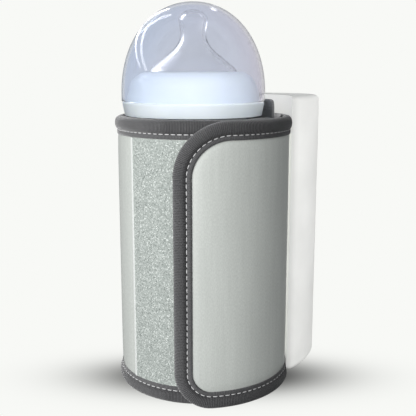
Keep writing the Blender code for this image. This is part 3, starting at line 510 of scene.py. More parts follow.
def moulded_group():
    """The fine eroded grain of a moulded case, and slight clouding of its tone."""
    tree, given, put = group("moulded",
                             [("Vector", "NodeSocketVector", None), ("Grain", "NodeSocketFloat", 2600.0)],
                             [("Height", "NodeSocketFloat"), ("Tone", "NodeSocketFloat")])
    tree.links.new(noise(tree, given["Vector"], given["Grain"], 3.0, 0.6), put["Height"])
    tree.links.new(noise(tree, given["Vector"], 45.0, 3.0, 0.55), put["Tone"])
    return tree


def leather():
    made, tree, shader = material("soft_grey_leather", Roughness=0.5, Specular_IOR_Level=0.42,
                                  Sheen_Weight=0.12, Sheen_Roughness=0.45)
    flat = placed(tree, uv=True)
    streak = noise(tree, placed(tree, (1, 0.06, 1), uv=True), 420.0, 4.0, 0.6)
    cloud = noise(tree, flat, 26.0, 3.0, 0.55)
    base = mixed(tree, between(tree, streak, 0.3, 0.7), paint(196, 200, 195), paint(204, 208, 203))
    base = mixed(tree, between(tree, cloud, 0.3, 0.7, 0, 0.2), base, paint(190, 194, 191))
    pores = node(tree, "ShaderNodeTexVoronoi", {"Vector": flat, "Scale": 1500.0, "Randomness": 0.9},
                 feature="F1").outputs["Distance"]
    base = mixed(tree, between(tree, pores, 0.0, 0.25, 0.12, 0.0), base, paint(120, 122, 122))
    fine = noise(tree, placed(tree, (1, 0.4, 1), uv=True), 2300.0, 2.0, 0.6)
    base = mixed(tree, between(tree, fine, 0.38, 0.62, 0, 0.3), base, paint(164, 168, 164))
    tree.links.new(base, shader.inputs["Base Color"])
    tree.links.new(between(tree, cloud, 0.3, 0.7, 0.45, 0.56), shader.inputs["Roughness"])
    grain = calc(tree, "ADD", calc(tree, "MULTIPLY", pores, 0.6), calc(tree, "MULTIPLY", streak, 0.8))
    bumped(tree, shader, grain, 0.25, 0.00012)
    return made


def grosgrain():
    """Ribbed tape; the ribs cross its width, and the flat part past the stitches is paler. A painted shade
    darkens the roll just past the stitch line, in its groove.
    """
    made, tree, shader = material("ribbed_tape", Roughness=0.72, Specular_IOR_Level=0.35,
                                  Sheen_Weight=0.35, Sheen_Roughness=0.4)
    place = node(tree, "ShaderNodeSeparateXYZ", {0: placed(tree, uv=True)}).outputs
    phase = calc(tree, "MULTIPLY", place[0], 2 * math.pi / (0.72 * MM))
    rib = between(tree, calc(tree, "SINE", phase), -1.0, 1.0)
    fleck = noise(tree, placed(tree, (1, 2.5, 1), uv=True), 1500.0, 3.0, 0.65)
    soft = noise(tree, placed(tree, uv=True), 60.0, 2.0)
    base = mixed(tree, rib, paint(16, 16, 17), paint(72, 72, 73))
    base = mixed(tree, between(tree, fleck, 0.45, 0.68, 0, 0.7), base, paint(100, 100, 101))
    base = mixed(tree, between(tree, soft, 0.35, 0.65, 0, 0.3), base, paint(46, 46, 48))
    selvage = calc(tree, "LESS_THAN", place[1], 2.1 * MM)
    base = mixed(tree, calc(tree, "MULTIPLY", selvage, 0.25), base, paint(90, 90, 91))
    # painted shade: darkest at the stitch line, fading out over the next 2.5 mm of the rolled part
    stitch_groove_shade = calc(tree, "MULTIPLY", between(tree, place[1], 2.1 * MM, 4.6 * MM, 0.5, 0),
                  calc(tree, "SUBTRACT", 1.0, selvage))
    base = mixed(tree, stitch_groove_shade, base, paint(18, 18, 19))
    tree.links.new(base, shader.inputs["Base Color"])
    height = calc(tree, "ADD", rib, calc(tree, "MULTIPLY", fleck, 0.5))
    bumped(tree, shader, height, 0.9, 0.00022)
    return made


def thread_yarn(name, light, dark):
    made, tree, shader = material(name, Roughness=0.6, Sheen_Weight=0.2)
    twist = node(tree, "ShaderNodeTexWave", {"Vector": placed(tree), "Scale": 900.0, "Distortion": 2.0},
                 bands_direction="DIAGONAL").outputs[1]
    tree.links.new(mixed(tree, twist, dark, light), shader.inputs["Base Color"])
    bumped(tree, shader, twist, 0.4, 0.00006)
    return made


def loop_fabric():
    made, tree, shader = material("loop_pile", Roughness=0.82, Specular_IOR_Level=0.3,
                                  Sheen_Weight=0.3, Sheen_Roughness=0.5)
    shade = node(tree, "ShaderNodeAttribute", attribute_name="shade").outputs["Fac"]
    cells = node(tree, "ShaderNodeVectorMath", {0: placed(tree, (2400, 2400, 2400))},
                 operation="FLOOR").outputs[0]
    glint = node(tree, "ShaderNodeTexWhiteNoise", {"Vector": cells}, noise_dimensions="3D").outputs[0]
    patch = noise(tree, placed(tree), 900.0, 3.0, 0.7)
    base = mixed(tree, shade, paint(146, 153, 149), paint(208, 214, 209))
    base = mixed(tree, between(tree, patch, 0.42, 0.6, 0, 0.5), base, paint(160, 168, 164))
    base = mixed(tree, between(tree, glint, 0.8, 1.0, 0, 0.8), base, paint(238, 243, 239))
    base = mixed(tree, between(tree, glint, 0.22, 0.0, 0, 0.7), base, paint(120, 128, 124))
    tree.links.new(base, shader.inputs["Base Color"])
    bumped(tree, shader, noise(tree, placed(tree), 2600.0, 3.0, 0.7), 0.7, 0.0002)
    return made


def woven(name, light, dark, pitch=0.5 * MM, rough=0.8):
    made, tree, shader = material(name, Roughness=rough, Specular_IOR_Level=0.3,
                                  Sheen_Weight=0.3, Sheen_Roughness=0.5)
    cloth = node(tree, "ShaderNodeGroup", node_tree=WEAVE)
    tree.links.new(placed(tree, uv=True), cloth.inputs["Vector"])
    cloth.inputs["Pitch"].default_value = pitch
    base = mixed(tree, between(tree, cloth.outputs["Height"], 0, 1), dark, light)
    base = mixed(tree, between(tree, cloth.outputs["Tone"], 0.4, 0.7, 0, 0.4), base, light)
    tree.links.new(base, shader.inputs["Base Color"])
    bumped(tree, shader, cloth.outputs["Height"], 0.7, 0.00015)
    return made


def moulded(name, light, dark, rough, coat=0.0, grain=2600.0, bump=0.12, **sockets):
    made, tree, shader = material(name, Roughness=rough, Coat_Weight=coat, **sockets)
    skin = node(tree, "ShaderNodeGroup", node_tree=MOULDED)
    tree.links.new(placed(tree), skin.inputs["Vector"])
    skin.inputs["Grain"].default_value = grain
    base = mixed(tree, between(tree, skin.outputs["Tone"], 0.35, 0.65), dark, light)
    tree.links.new(base, shader.inputs["Base Color"])
    tree.links.new(between(tree, skin.outputs["Tone"], 0.3, 0.7, rough - 0.03, rough + 0.05),
                   shader.inputs["Roughness"])
    bumped(tree, shader, skin.outputs["Height"], bump, 0.00008)
    return made


def clear(name, tint, rough, index, sides=None):
    """Clear moulded plastic or glass with faint flow lines and handling haze. sides are painted reflection
    tints that its left and right edges take, as seen from the camera's side."""
    made, tree, shader = material(name, IOR=index, Transmission_Weight=1.0)
    haze = noise(tree, placed(tree), 30.0, 3.0, 0.6)
    colour = mixed(tree, between(tree, haze, 0.35, 0.65), tint, tuple(min(c * 1.03, 1) for c in tint))
    # painted reflection: grazing edges take one tint on the camera's left and another on its right, standing
    # in for rim light
    if sides:
        place = node(tree, "ShaderNodeVectorRotate", {"Vector": placed(tree), "Angle": -VIEW_TURN},
                     rotation_type="Z_AXIS").outputs[0]
        across = node(tree, "ShaderNodeSeparateXYZ", {0: place}).outputs[0]
        painted_edge_tint = mixed(tree, between(tree, across, -0.03, 0.03), *sides)
        edge = node(tree, "ShaderNodeLayerWeight", {"Blend": 0.4}).outputs["Facing"]
        colour = mixed(tree, edge, colour, painted_edge_tint)
    tree.links.new(colour, shader.inputs["Base Color"])
    tree.links.new(between(tree, haze, 0.3, 0.7, rough * 0.6, rough * 1.5), shader.inputs["Roughness"])
    flow = noise(tree, placed(tree, (1, 1, 0.35)), 22.0, 1.0)
    bumped(tree, shader, flow, 0.02, 0.0002)
    return made


def steel():
    made, tree, shader = material("brushed_steel", Metallic=1.0, Roughness=0.28)
    lines = noise(tree, placed(tree, (1, 1, 12)), 900.0, 3.0, 0.7)
    base = mixed(tree, lines, paint(168, 170, 174), paint(214, 216, 220))
    tree.links.new(base, shader.inputs["Base Color"])
    tree.links.new(between(tree, lines, 0.3, 0.7, 0.22, 0.42), shader.inputs["Roughness"])
    bumped(tree, shader, lines, 0.1, 0.00004)
    return made


def circuit():
    made, tree, shader = material("circuit_laminate", Roughness=0.35, Coat_Weight=0.4)
    cells = node(tree, "ShaderNodeTexVoronoi", {"Vector": placed(tree), "Scale": 420.0, "Randomness": 0.2},
                 feature="F1", distance="MANHATTAN").outputs["Distance"]
    tracks = calc(tree, "GREATER_THAN", calc(tree, "SINE", calc(tree, "MULTIPLY", cells, 30.0)), 0.55)
    base = mixed(tree, tracks, paint(22, 84, 52), paint(46, 124, 78))
    tree.links.new(base, shader.inputs["Base Color"])
    bumped(tree, shader, tracks, 0.3, 0.00005)
    return made


def film():
    made, tree, shader = material("heating_film_laminate", Roughness=0.4)
    place = node(tree, "ShaderNodeSeparateXYZ", {0: placed(tree)}).outputs
    line = calc(tree, "SINE", calc(tree, "MULTIPLY", place[2], 2 * math.pi / (4 * MM)))
    track = calc(tree, "GREATER_THAN", line, 0.2)
    base = mixed(tree, track, paint(196, 132, 62), paint(70, 66, 64))
    fade = between(tree, noise(tree, placed(tree), 300.0), 0.4, 0.7, 0, 0.3)
    base = mixed(tree, fade, base, paint(150, 104, 60))
    tree.links.new(base, shader.inputs["Base Color"])
    bumped(tree, shader, track, 0.3, 0.00005)
    return made


WEAVE, MOULDED = weave_group(), moulded_group()
LEATHER = leather()
TAPE = grosgrain()
STITCH = thread_yarn("stitch_thread", paint(238, 238, 238), paint(186, 186, 187))
LOOPS = loop_fabric()
SELVAGE = woven("loop_pad_selvage", paint(246, 249, 246), paint(222, 226, 223), 0.4 * MM)
HOOKS = moulded("hook_nylon", paint(96, 98, 100), paint(78, 80, 82), 0.5)
LINING = woven("silver_lining_cloth", paint(176, 179, 182), paint(128, 131, 135), 0.45 * MM, 0.62)
TONGUE = woven("dark_tongue_cloth", paint(180, 180, 182), paint(128, 128, 131), 0.55 * MM, 0.85)
CASE = moulded("white_case", paint(240, 240, 237), paint(234, 234, 231), 0.42, bump=0.2)
BUTTON = moulded("white_button", paint(242, 242, 240), paint(236, 236, 234), 0.3, 0.1)
BLACK = moulded("black_plastic_moulding", paint(34, 34, 36), paint(24, 24, 26), 0.4)
WINDOW = moulded("dark_window_glass", paint(16, 17, 20), paint(10, 11, 13), 0.08, 0.6, bump=0.02)
RUBBER = moulded("black_rubber", paint(38, 38, 39), paint(28, 28, 29), 0.65, grain=3500.0, bump=0.3)
CELL = moulded("cell_wrap", paint(70, 110, 170), paint(58, 96, 152), 0.35, 0.2)
FOAM = moulded("foam_wadding", paint(222, 222, 218), paint(202, 202, 198), 0.9, grain=1400.0, bump=0.9)
MARK = moulded("grey_mark", paint(146, 150, 154), paint(134, 138, 142), 0.45)
STEEL, BOARD, FILM = steel(), circuit(), film()
BOTTLE = clear("clear_bottle_plastic", paint(236, 241, 245), 0.03, 1.5)
# the last two tones are painted reflection tints for the cap's left and right edges
CAP = clear("clear_cap_plastic", paint(226, 229, 238), 0.015, 1.4,
            (paint(212, 224, 246), paint(226, 214, 220)))
NIPPLE = clear("soft_silicone", paint(252, 252, 254), 0.13, 1.25)
COLLAR = moulded("collar_plastic", paint(224, 232, 238), paint(218, 227, 233), 0.34, 0.1,
                 Subsurface_Weight=0.15, Subsurface_Radius=(0.002, 0.002, 0.003), Subsurface_Scale=1.0)


def dress(obj, finish):
    obj.data.materials.clear()
    obj.data.materials.append(finish)
    return obj


# ---- Things that repeat, by Geometry Nodes ----------------------------------------------------

def repeated(obj, tree, values):
    """Runs a node tree over an object with its named inputs set, and makes the result mesh."""
    live = obj.modifiers.new("repeat", "NODES")
    live.node_group = tree
    for item in tree.interface.items_tree:
        if item.item_type == "SOCKET" and item.in_out == "INPUT" and item.name in values:
            live[item.identifier] = values[item.name]
    made = baked(obj)
    made.data.shade_smooth()
    return made


def geometry_group(name, inputs):
    tree = bpy.data.node_groups.new(name, "GeometryNodeTree")
    tree.interface.new_socket("Geometry", in_out="INPUT", socket_type="NodeSocketGeometry")
    for label, kind, value in inputs:
        socket = tree.interface.new_socket(label, in_out="INPUT", socket_type=kind)
        if value is not None:
            socket.default_value = value
    tree.interface.new_socket("Geometry", in_out="OUTPUT", socket_type="NodeSocketGeometry")
    return tree, tree.nodes.new("NodeGroupInput").outputs, tree.nodes.new("NodeGroupOutput").inputs


def attribute(tree, name, kind="FLOAT_VECTOR"):
    return node(tree, "GeometryNodeInputNamedAttribute", {"Name": name}, data_type=kind).outputs["Attribute"]


def turn_to(tree, along, outward):
    """A rotation whose X runs along and whose Z points outward."""
    first = node(tree, "FunctionNodeAlignRotationToVector", {"Vector": along}, axis="X").outputs[0]
    return node(tree, "FunctionNodeAlignRotationToVector", {"Rotation": first, "Vector": outward},
                axis="Z", pivot_axis="X").outputs[0]


def round_bar(tree, path, radius, sides, closed=True):
    """A bar of round section along a path."""
    ring = node(tree, "GeometryNodeCurvePrimitiveCircle", {"Resolution": sides, "Radius": radius}).outputs[0]
    return node(tree, "GeometryNodeCurveToMesh", {"Curve": path, "Profile Curve": ring,
                                                  "Fill Caps": closed}).outputs[0]


def copies_at(tree, points, piece, turn, scale=(1, 1, 1)):
    return node(tree, "GeometryNodeInstanceOnPoints", {"Points": points, "Instance": piece,
                                                       "Rotation": turn, "Scale": scale}).outputs[0]


def made_real(tree, copies, finish):
    real = node(tree, "GeometryNodeRealizeInstances", {0: copies}).outputs[0]
    return node(tree, "GeometryNodeSetMaterial", {"Geometry": real, "Material": finish}).outputs[0]


def thread_mesh(tree, length, radius, sink):
    """One stitch: a short bowed thread whose ends go down into the cloth."""
    half = calc(tree, "MULTIPLY", length, 0.5)
    start = node(tree, "ShaderNodeCombineXYZ", {"X": calc(tree, "MULTIPLY", half, -1.0), "Z": sink})
    middle = node(tree, "ShaderNodeCombineXYZ", {"Z": radius})
    end = node(tree, "ShaderNodeCombineXYZ", {"X": half, "Z": sink})
    bow = node(tree, "GeometryNodeCurveQuadraticBezier", {
        "Resolution": 6, "Start": start.outputs[0], "Middle": middle.outputs[0], "End": end.outputs[0]})
    return round_bar(tree, bow.outputs[0], radius, 6)


def stitch_tree():
    tree, given, put = geometry_group("stitch_row", [
        ("Pitch", "NodeSocketFloat", 0.0029), ("Length", "NodeSocketFloat", 0.0018),
        ("Radius", "NodeSocketFloat", 0.00022), ("Sink", "NodeSocketFloat", -0.00025),
        ("Material", "NodeSocketMaterial", None)])
    path = node(tree, "GeometryNodeMeshToCurve", {"Mesh": given["Geometry"]}).outputs[0]
    path = node(tree, "GeometryNodeResampleCurve", {"Curve": path, "Length": given["Pitch"]},
                mode="LENGTH").outputs[0]
    along = node(tree, "GeometryNodeInputTangent").outputs[0]
    turn = turn_to(tree, along, attribute(tree, "outward"))
    stitch = thread_mesh(tree, given["Length"], given["Radius"], given["Sink"])
    row = copies_at(tree, path, stitch, turn)
    tree.links.new(made_real(tree, row, given["Material"]), put["Geometry"])
    return tree


def pile_tree():
    """Small bent filaments scattered over a strip: closed loops, or hooks cut open."""
    tree, given, put = geometry_group("pile", [
        ("Density", "NodeSocketFloat", 1e6), ("Seed", "NodeSocketInt", 3),
        ("Size", "NodeSocketFloat", 0.0006),
        ("Thickness", "NodeSocketFloat", 0.00006), ("Sweep", "NodeSocketFloat", math.pi),
        ("Lean", "NodeSocketFloat", 0.5), ("Material", "NodeSocketMaterial", None)])
    points = node(tree, "GeometryNodeDistributePointsOnFaces", {
        "Mesh": given["Geometry"], "Density": given["Density"], "Seed": given["Seed"],
        "Selection": calc(tree, "GREATER_THAN", attribute(tree, "pile", "FLOAT"), 0.5)})
    arc = node(tree, "GeometryNodeCurveArc", {"Resolution": 4, "Radius": given["Size"],
                                              "Sweep Angle": given["Sweep"]}).outputs[0]
    filament = round_bar(tree, arc, given["Thickness"], 3, False)
    stood = node(tree, "GeometryNodeTransform", {"Geometry": filament,
                                                 "Rotation": (math.pi / 2, 0, 0)}).outputs[0]
    spin = node(tree, "FunctionNodeRandomValue", {"Min": (-0.6, -0.6, 0), "Max": (0.6, 0.6, 6.283)},
                data_type="FLOAT_VECTOR").outputs["Value"]
    share = node(tree, "ShaderNodeCombineXYZ", {"X": given["Lean"], "Y": given["Lean"], "Z": 1.0}).outputs[0]
    lean = node(tree, "ShaderNodeVectorMath", {0: spin, 1: share}, operation="MULTIPLY").outputs[0]
    local = node(tree, "FunctionNodeEulerToRotation", {0: lean}).outputs[0]
    turn = node(tree, "FunctionNodeRotateRotation", {0: points.outputs["Rotation"], 1: local},
                rotation_space="LOCAL").outputs[0]
    size = node(tree, "FunctionNodeRandomValue", {"Min": 0.7, "Max": 1.25, "Seed": 5}, data_type="FLOAT")
    row = copies_at(tree, points.outputs["Points"], stood, turn, size.outputs[1])
    shade = node(tree, "FunctionNodeRandomValue", {"Seed": 11}, data_type="FLOAT").outputs[1]
    row = node(tree, "GeometryNodeStoreNamedAttribute", {"Geometry": row, "Name": "shade", "Value": shade},
               domain="INSTANCE", data_type="FLOAT").outputs[0]
    both = node(tree, "GeometryNodeJoinGeometry")
    tree.links.new(made_real(tree, row, given["Material"]), both.inputs[0])
    tree.links.new(given["Geometry"], both.inputs[0])
    tree.links.new(both.outputs[0], put["Geometry"])
    return tree


def tick_tree():
    """A row of raised marks up a wall, each as long as its reach says."""
    tree, given, put = geometry_group("tick_row", [
        ("Width", "NodeSocketFloat", 0.004), ("Thickness", "NodeSocketFloat", 0.0005),
        ("Material", "NodeSocketMaterial", None)])
    end = node(tree, "ShaderNodeCombineXYZ", {"X": given["Width"]}).outputs[0]
    line = node(tree, "GeometryNodeCurvePrimitiveLine", {"Start": (0, 0, 0), "End": end}).outputs[0]
    bar = round_bar(tree, line, given["Thickness"], 8)
    turn = turn_to(tree, attribute(tree, "along"), attribute(tree, "outward"))
    longer = node(tree, "ShaderNodeCombineXYZ", {"X": attribute(tree, "reach", "FLOAT"), "Y": 1.0, "Z": 1.0})
    row = copies_at(tree, given["Geometry"], bar, turn, longer.outputs[0])
    tree.links.new(made_real(tree, row, given["Material"]), put["Geometry"])
    return tree


def with_vectors(obj, **named):
    for name, values in named.items():
        values = np.asarray(values, np.float32)
        kind = "FLOAT_VECTOR" if values.ndim == 2 else "FLOAT"
        layer = obj.data.attributes.new(name, kind, "POINT")
        layer.data.foreach_set("vector" if values.ndim == 2 else "value", values.ravel())
    return obj


STITCHES, PILE, TICKS = stitch_tree(), pile_tree(), tick_tree()


def outward_of(points):
    away = np.array(points) - np.array([CENTRE.x, CENTRE.y, 0])
    away[:, 2] = 0
    return away / np.linalg.norm(away, axis=1)[:, None]


def stitch_row(name, rows):
    """Stitches along a tape, at its stitch line."""
    points = []
    for row in rows:
        along, z = on_edge(row, STITCH_LINE)
        if points and math.dist((along, z), points[-1]) < 0.2 * MM:
            continue
        points.append((along, z))
    flat = np.array(points)
    world = on_wrap(flat[:, 0] / FLAT_RADIUS, 0.34 * MM, flat[:, 1])
    mesh = bpy.data.meshes.new(name)
    mesh.from_pydata([tuple(p) for p in world], [(i, i + 1) for i in range(len(world) - 1)], [])
    obj = with_vectors(link(bpy.data.objects.new(name, mesh)), outward=outward_of(world))
    return repeated(obj, STITCHES, {"Pitch": 2.9 * MM, "Length": 1.9 * MM, "Radius": 0.24 * MM,
                                    "Sink": -0.2 * MM, "Material": STITCH})


# ---- The sleeve and its flap -----------------------------------------------------------------

FIXED_LENGTH = SPLIT_TURN * FLAT_RADIUS


def bends(obj):
    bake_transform(obj)
    return obj


def spread(low_z, high_z, fine=0.9 * MM, coarse=3.2 * MM, band=21 * MM):
    """Heights close together near both edges, where corners are round, and further apart between."""
    edge = np.arange(0, band, fine)
    middle = np.linspace(low_z + band, high_z - band, max(int((high_z - low_z - 2 * band) / coarse), 2))
    return np.concatenate([low_z + edge, middle, (high_z - edge)[::-1]])


def crown(along, z):
    """How the padded face of the flap stands out between its bound edges."""
    inside = edge_distance(along, z, TAPE_WIDTH)
    lift = 0.75 * MM * (1 - np.exp(-np.maximum(inside, 0) / (4.5 * MM)))
    dent = -0.25 * MM * np.exp(-((inside - 0.3 * MM) / (1.2 * MM)) ** 2)
    ripple = 0.07 * MM * np.sin(along / (5.1 * MM) + 1.3 * np.sin(z / (23 * MM)))
    ripple += 0.05 * MM * np.sin(z / (9 * MM) + along / (14 * MM))
    whole = lift + dent + ripple * smoothstep(0, 4 * MM, inside)
    return whole * smoothstep(338, 352, np.degrees(along / FLAT_RADIUS))


def fixed_face(along, z):
    """The fixed part lies almost flat: a slight fullness shows on its open front only."""
    degrees = np.degrees(along / FLAT_RADIUS)
    inside = np.minimum(z, SLEEVE_TOP - z) - TAPE_WIDTH
    lift = 0.28 * MM * (1 - np.exp(-np.maximum(inside, 0) / (4 * MM)))
    return lift * smoothstep(112, 120, degrees) * (1 - smoothstep(176, 190, degrees))


sleeve_leather = panel("sleeve_leather", lambda z: (COVER_MARGIN, FIXED_LENGTH),
                       spread(0.5 * MM, SLEEVE_TOP - 0.5 * MM, 2 * MM, 5 * MM),
                       fixed_face, LEATHER_THICKNESS, 200)
dress(sleeve_leather, LEATHER)
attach(sleeve_leather, "sleeve")

flap_leather = panel("flap_leather", lambda z: (FIXED_LENGTH, flap_end(z, COVER_MARGIN)),
                     spread(0.5 * MM, SLEEVE_TOP - 0.5 * MM), crown, LEATHER_THICKNESS, 84)
dress(flap_leather, LEATHER)
bends(flap_leather)
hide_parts("sleeve_cover")
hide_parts("flap_cover")


def along_top_and_bottom(start, end, step):
    """Two straight runs of edge: along the top, then along the bottom."""
    count = int((end - start) / step)
    stops = [start + (end - start) * number / count for number in range(count + 1)]
    return ([(stop, SLEEVE_TOP, 0, -1, 0) for stop in stops], [(stop, 0, 0, 1, 0) for stop in stops])


top_run, bottom_run = along_top_and_bottom(0.0, FIXED_LENGTH, 1.6 * MM)
flap_run = edge_path(FIXED_LENGTH, FLAP_END_TURN * FLAT_RADIUS)
for name, rows, stack, swings in (("top_tape", top_run, FIXED_STACK, False),
                                  ("bottom_tape", bottom_run, FIXED_STACK, False),
                                  ("flap_tape", flap_run, FLAP_STACK, True)):
    tape = dress(edge_tape(name, rows, stack), TAPE)
    row = stitch_row(name + "_stitches", rows)
    for piece in (tape, row):
        if swings:
            bends(piece)
        else:
            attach(piece, "sleeve")
    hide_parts("flap_binding" if swings else "sleeve_binding")


def lining(name, start, end_of, heights, face_out, thickness, columns):
    """A thin cloth against the bottle, as a closed sheet."""
    piece = panel(name, lambda z: (start, end_of(z)), heights, lambda along, z: face_out(along),
                  thickness, columns, face_out)
    return dress(piece, LINING)


fixed_lining = lining("sleeve_lining_cloth", LINING_MARGIN, lambda z: FIXED_LENGTH,
                      np.linspace(LINING_MARGIN, SLEEVE_TOP - LINING_MARGIN, 34),
                      lambda along: LINING_FACE + 0 * along, 0.6 * MM, 190)
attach(fixed_lining, "sleeve")
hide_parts("sleeve_lining")


def flap_lining_face(along):
    return LINING_FACE + 1.1 * MM * smoothstep(344.0, 350.0, np.degrees(along / FLAT_RADIUS))


flap_lining = lining("flap_lining_cloth", FIXED_LENGTH, lambda z: flap_end(z, LINING_MARGIN),
                     spread(LINING_MARGIN, SLEEVE_TOP - LINING_MARGIN), flap_lining_face, 0.5 * MM, 84)
bends(flap_lining)
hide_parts("flap_lining")


# ---- The fastening ---------------------------------------------------------------------------

def strip(name, turns, margin, low_out, high_out, round_end, finish, pile, seed, density, size, sweep, lean):
    """A woven strip with its pile standing on one side; low_out is the side on the cloth."""
    low_z, high_z = margin, SLEEVE_TOP - margin
    start, end = (turn * FLAT_RADIUS for turn in turns)

    def ends(z):
        radius = float(flap_corner(z)) - TAPE_WIDTH if round_end else 0
        depth = np.clip(min(z - low_z, high_z - z), 0, radius)
        return start, end - (radius - math.sqrt(max(radius ** 2 - (radius - depth) ** 2, 0)))

    top, bottom = max(low_out, high_out), min(low_out, high_out)
    piece = panel(name, ends, spread(low_z, high_z, 1.2 * MM, 3 * MM, 14 * MM),
                  lambda along, z: top + 0 * z, top - bottom, 40, lambda along: top + 0 * along)
    points = np.zeros(len(piece.data.vertices) * 3)
    piece.data.vertices.foreach_get("co", points)
    turn, out, z = off_wrap(points.reshape(-1, 3), turns[0])
    rim = 0.9 * MM
    along = turn * FLAT_RADIUS
    standing = (np.abs(out - high_out) < 0.2 * MM) & (z > low_z + rim) & (z < high_z - rim)
    standing &= (along > start + rim) & (along < end - 2 * rim)
    with_vectors(piece, pile=standing.astype(float), shade=np.full(len(z), 0.4))
    dress(piece, finish)
    return repeated(piece, PILE, {"Density": density, "Seed": seed, "Size": size, "Thickness": 0.06 * MM,
                                  "Sweep": math.radians(sweep), "Lean": lean, "Material": pile})


HOOK_BACK = moulded("hook_backing", paint(88, 90, 93), paint(74, 76, 79), 0.6, grain=1700.0, bump=0.5)
loop_pad = strip("loop_pad", LOOP_TURNS, LOOP_MARGIN, 0.02 * MM, 0.55 * MM, False,
                 LOOPS, LOOPS, 3, 1.4e6, 0.24 * MM, 200, 1.0)
hook_pad = strip("hook_pad", HOOK_TURNS, HOOK_MARGIN, -3.0 * MM, -3.35 * MM, True,
                 HOOK_BACK, HOOKS, 4, 0.75e6, 0.3 * MM, 150, 0.3)
for piece, node_name, body in ((loop_pad, "loop_strip", "sleeve"), (hook_pad, "hook_strip", "flap")):
    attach(piece, body)
    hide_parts(node_name)

LOOP_END = LOOP_TURNS[1] * FLAT_RADIUS


def loop_edge_face(along, z):
    return 0.78 * MM - 0.25 * MM * smoothstep(0, 1.4 * MM, along - LOOP_END + 1.1 * MM)


loop_edge = panel("loop_pad_edge", lambda z: (LOOP_END - 1.5 * MM, LOOP_END + 0.25 * MM),
                  spread(LOOP_MARGIN, SLEEVE_TOP - LOOP_MARGIN, 2 * MM, 3 * MM),
                  loop_edge_face, 0.7 * MM, 8, lambda along: 0.72 * MM + 0 * along)
dress(loop_edge, SELVAGE)
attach(loop_edge, "sleeve")


# ---- The tongue behind the bottle ------------------------------------------------------------

def make_tongue():
    """A stiff cloth tab sewn inside the sleeve that holds the unit, with a seam across its top."""
    start, end, foot, top = math.radians(38.5), math.radians(112), 30 * MM, 138 * MM
    corner = 4 * MM
    heights = np.concatenate([np.linspace(foot, top - 8 * MM, 40), np.linspace(top - 7.6 * MM, top, 22)])
    columns = np.linspace(0, 1, 61)
    outer, inner, uvs = [], [], []
    for z in heights:
        depth = np.clip(min(z - foot, top - z), 0, corner)
        cut = (corner - math.sqrt(max(corner ** 2 - (corner - depth) ** 2, 0))) / FLAT_RADIUS
        angle = (start + cut) + (end - start - 2 * cut) * columns
        turn = np.mod(INNER_END_ANGLE - angle, 2 * math.pi)
        rim = np.minimum(np.minimum(top - z, (angle - start) * FLAT_RADIUS), (end - angle) * FLAT_RADIUS)
        swell = 0.22 * MM * np.exp(-((rim - 1.3 * MM) / (1.0 * MM)) ** 2)
        seam = -0.3 * MM * math.exp(-((z - top + 4.4 * MM) / (0.45 * MM)) ** 2)
        outer.append(on_wrap(turn, -5.2 * MM + 0.3 * swell, z))
        inner.append(on_wrap(turn, -6.3 * MM - swell - seam, z))
        uvs.append(np.stack([angle * FLAT_RADIUS, np.broadcast_to(z, angle.shape)], -1))
    return closed_sheet("tongue_cloth", np.array(inner), np.array(outer), np.array(uvs), 60)


tongue = dress(make_tongue(), TONGUE)
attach(tongue, "sleeve")
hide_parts("mounting_tongue")


# ---- The bottle ------------------------------------------------------------------------------

THREAD_RISE, THREAD_TURNS, THREAD_SIZE = 5 * MM, 1.25, 1.2 * MM


def thread_ridge(angle, z, start):
    """How far the screw thread stands off its neck, at an angle and a height."""
    height = 0
    for lap in (0, 1):
        share = angle / (2 * math.pi) + lap
        off = abs(z - start - THREAD_RISE * share)
        if share <= THREAD_TURNS and off < THREAD_SIZE:
            fade = min(1, share * 12, (THREAD_TURNS - share) * 12)
            height = max(height, (math.sqrt(THREAD_SIZE ** 2 - off ** 2) + 0.1 * MM) * fade)
    return height


def threaded(name, profile, neck, start, sign):
    """A turned piece with a thread on its neck (radius, low, high), standing out or in."""
    radius, low_z, high_z = neck
    obj = turned(name, profile, 128)
    for vertex in obj.data.vertices:
        away = Vector((vertex.co.x - AXIS.x, vertex.co.y - AXIS.y, 0))
        if abs(away.length - radius) < 0.05 * MM and low_z < vertex.co.z < high_z:
            angle = math.atan2(away.y, away.x) % (2 * math.pi)
            vertex.co += away.normalized() * thread_ridge(angle, vertex.co.z, start) * sign
    return obj


def steps_up(radius, low_z, high_z, step):
    count = max(int(abs(high_z - low_z) / step), 1)
    return [(radius, low_z + (high_z - low_z) * number / count) for number in range(count + 1)]


def in_mm(points):
    return [(radius * MM, height * MM) for radius, height in points]


def make_bottle():
    shoulder = smooth_curve(in_mm([(30.5, 116.0), (30.5, 118.5), (30.3, 121.5), (29.4, 125.2), (28.2, 128.2),
                                   (27.4, 129.6), (27.3, 130.4)]), 5)
    foot = rounded(in_mm([(0, 1.6), (22, 1.2), (25, 0.0), (28.3, 0.0), (30.5, 2.4), (30.5, 12)]), 1.6 * MM, 6)
    neck = steps_up(27.3 * MM, 131.0 * MM, 144.4 * MM, 0.35 * MM)
    lip = in_mm([(27.15, 144.85), (26.8, 145.0), (26.0, 145.0), (25.65, 144.85), (25.5, 144.4)])
    inside = smooth_curve(in_mm([(25.5, 131.0), (25.6, 129.6), (26.4, 127.6), (27.6, 124.4), (28.4, 121.0),
                                 (28.5, 118.0)]), 3)
    inside += smooth_curve(in_mm([(28.5, 8.0), (27.6, 5.6), (25.0, 4.3), (20.0, 4.0), (0, 4.0)]), 3)
    body = steps_up(30.5 * MM, 13 * MM, 115 * MM, 6 * MM)
    profile = foot + body + shoulder + neck + lip + inside
    return threaded("clear_bottle_turned", profile, (27.3 * MM, 131 * MM, 144.3 * MM), 134.5 * MM, 1)


bottle = dress(make_bottle(), BOTTLE)
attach(bottle, "bottle")
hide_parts("bottle_body")


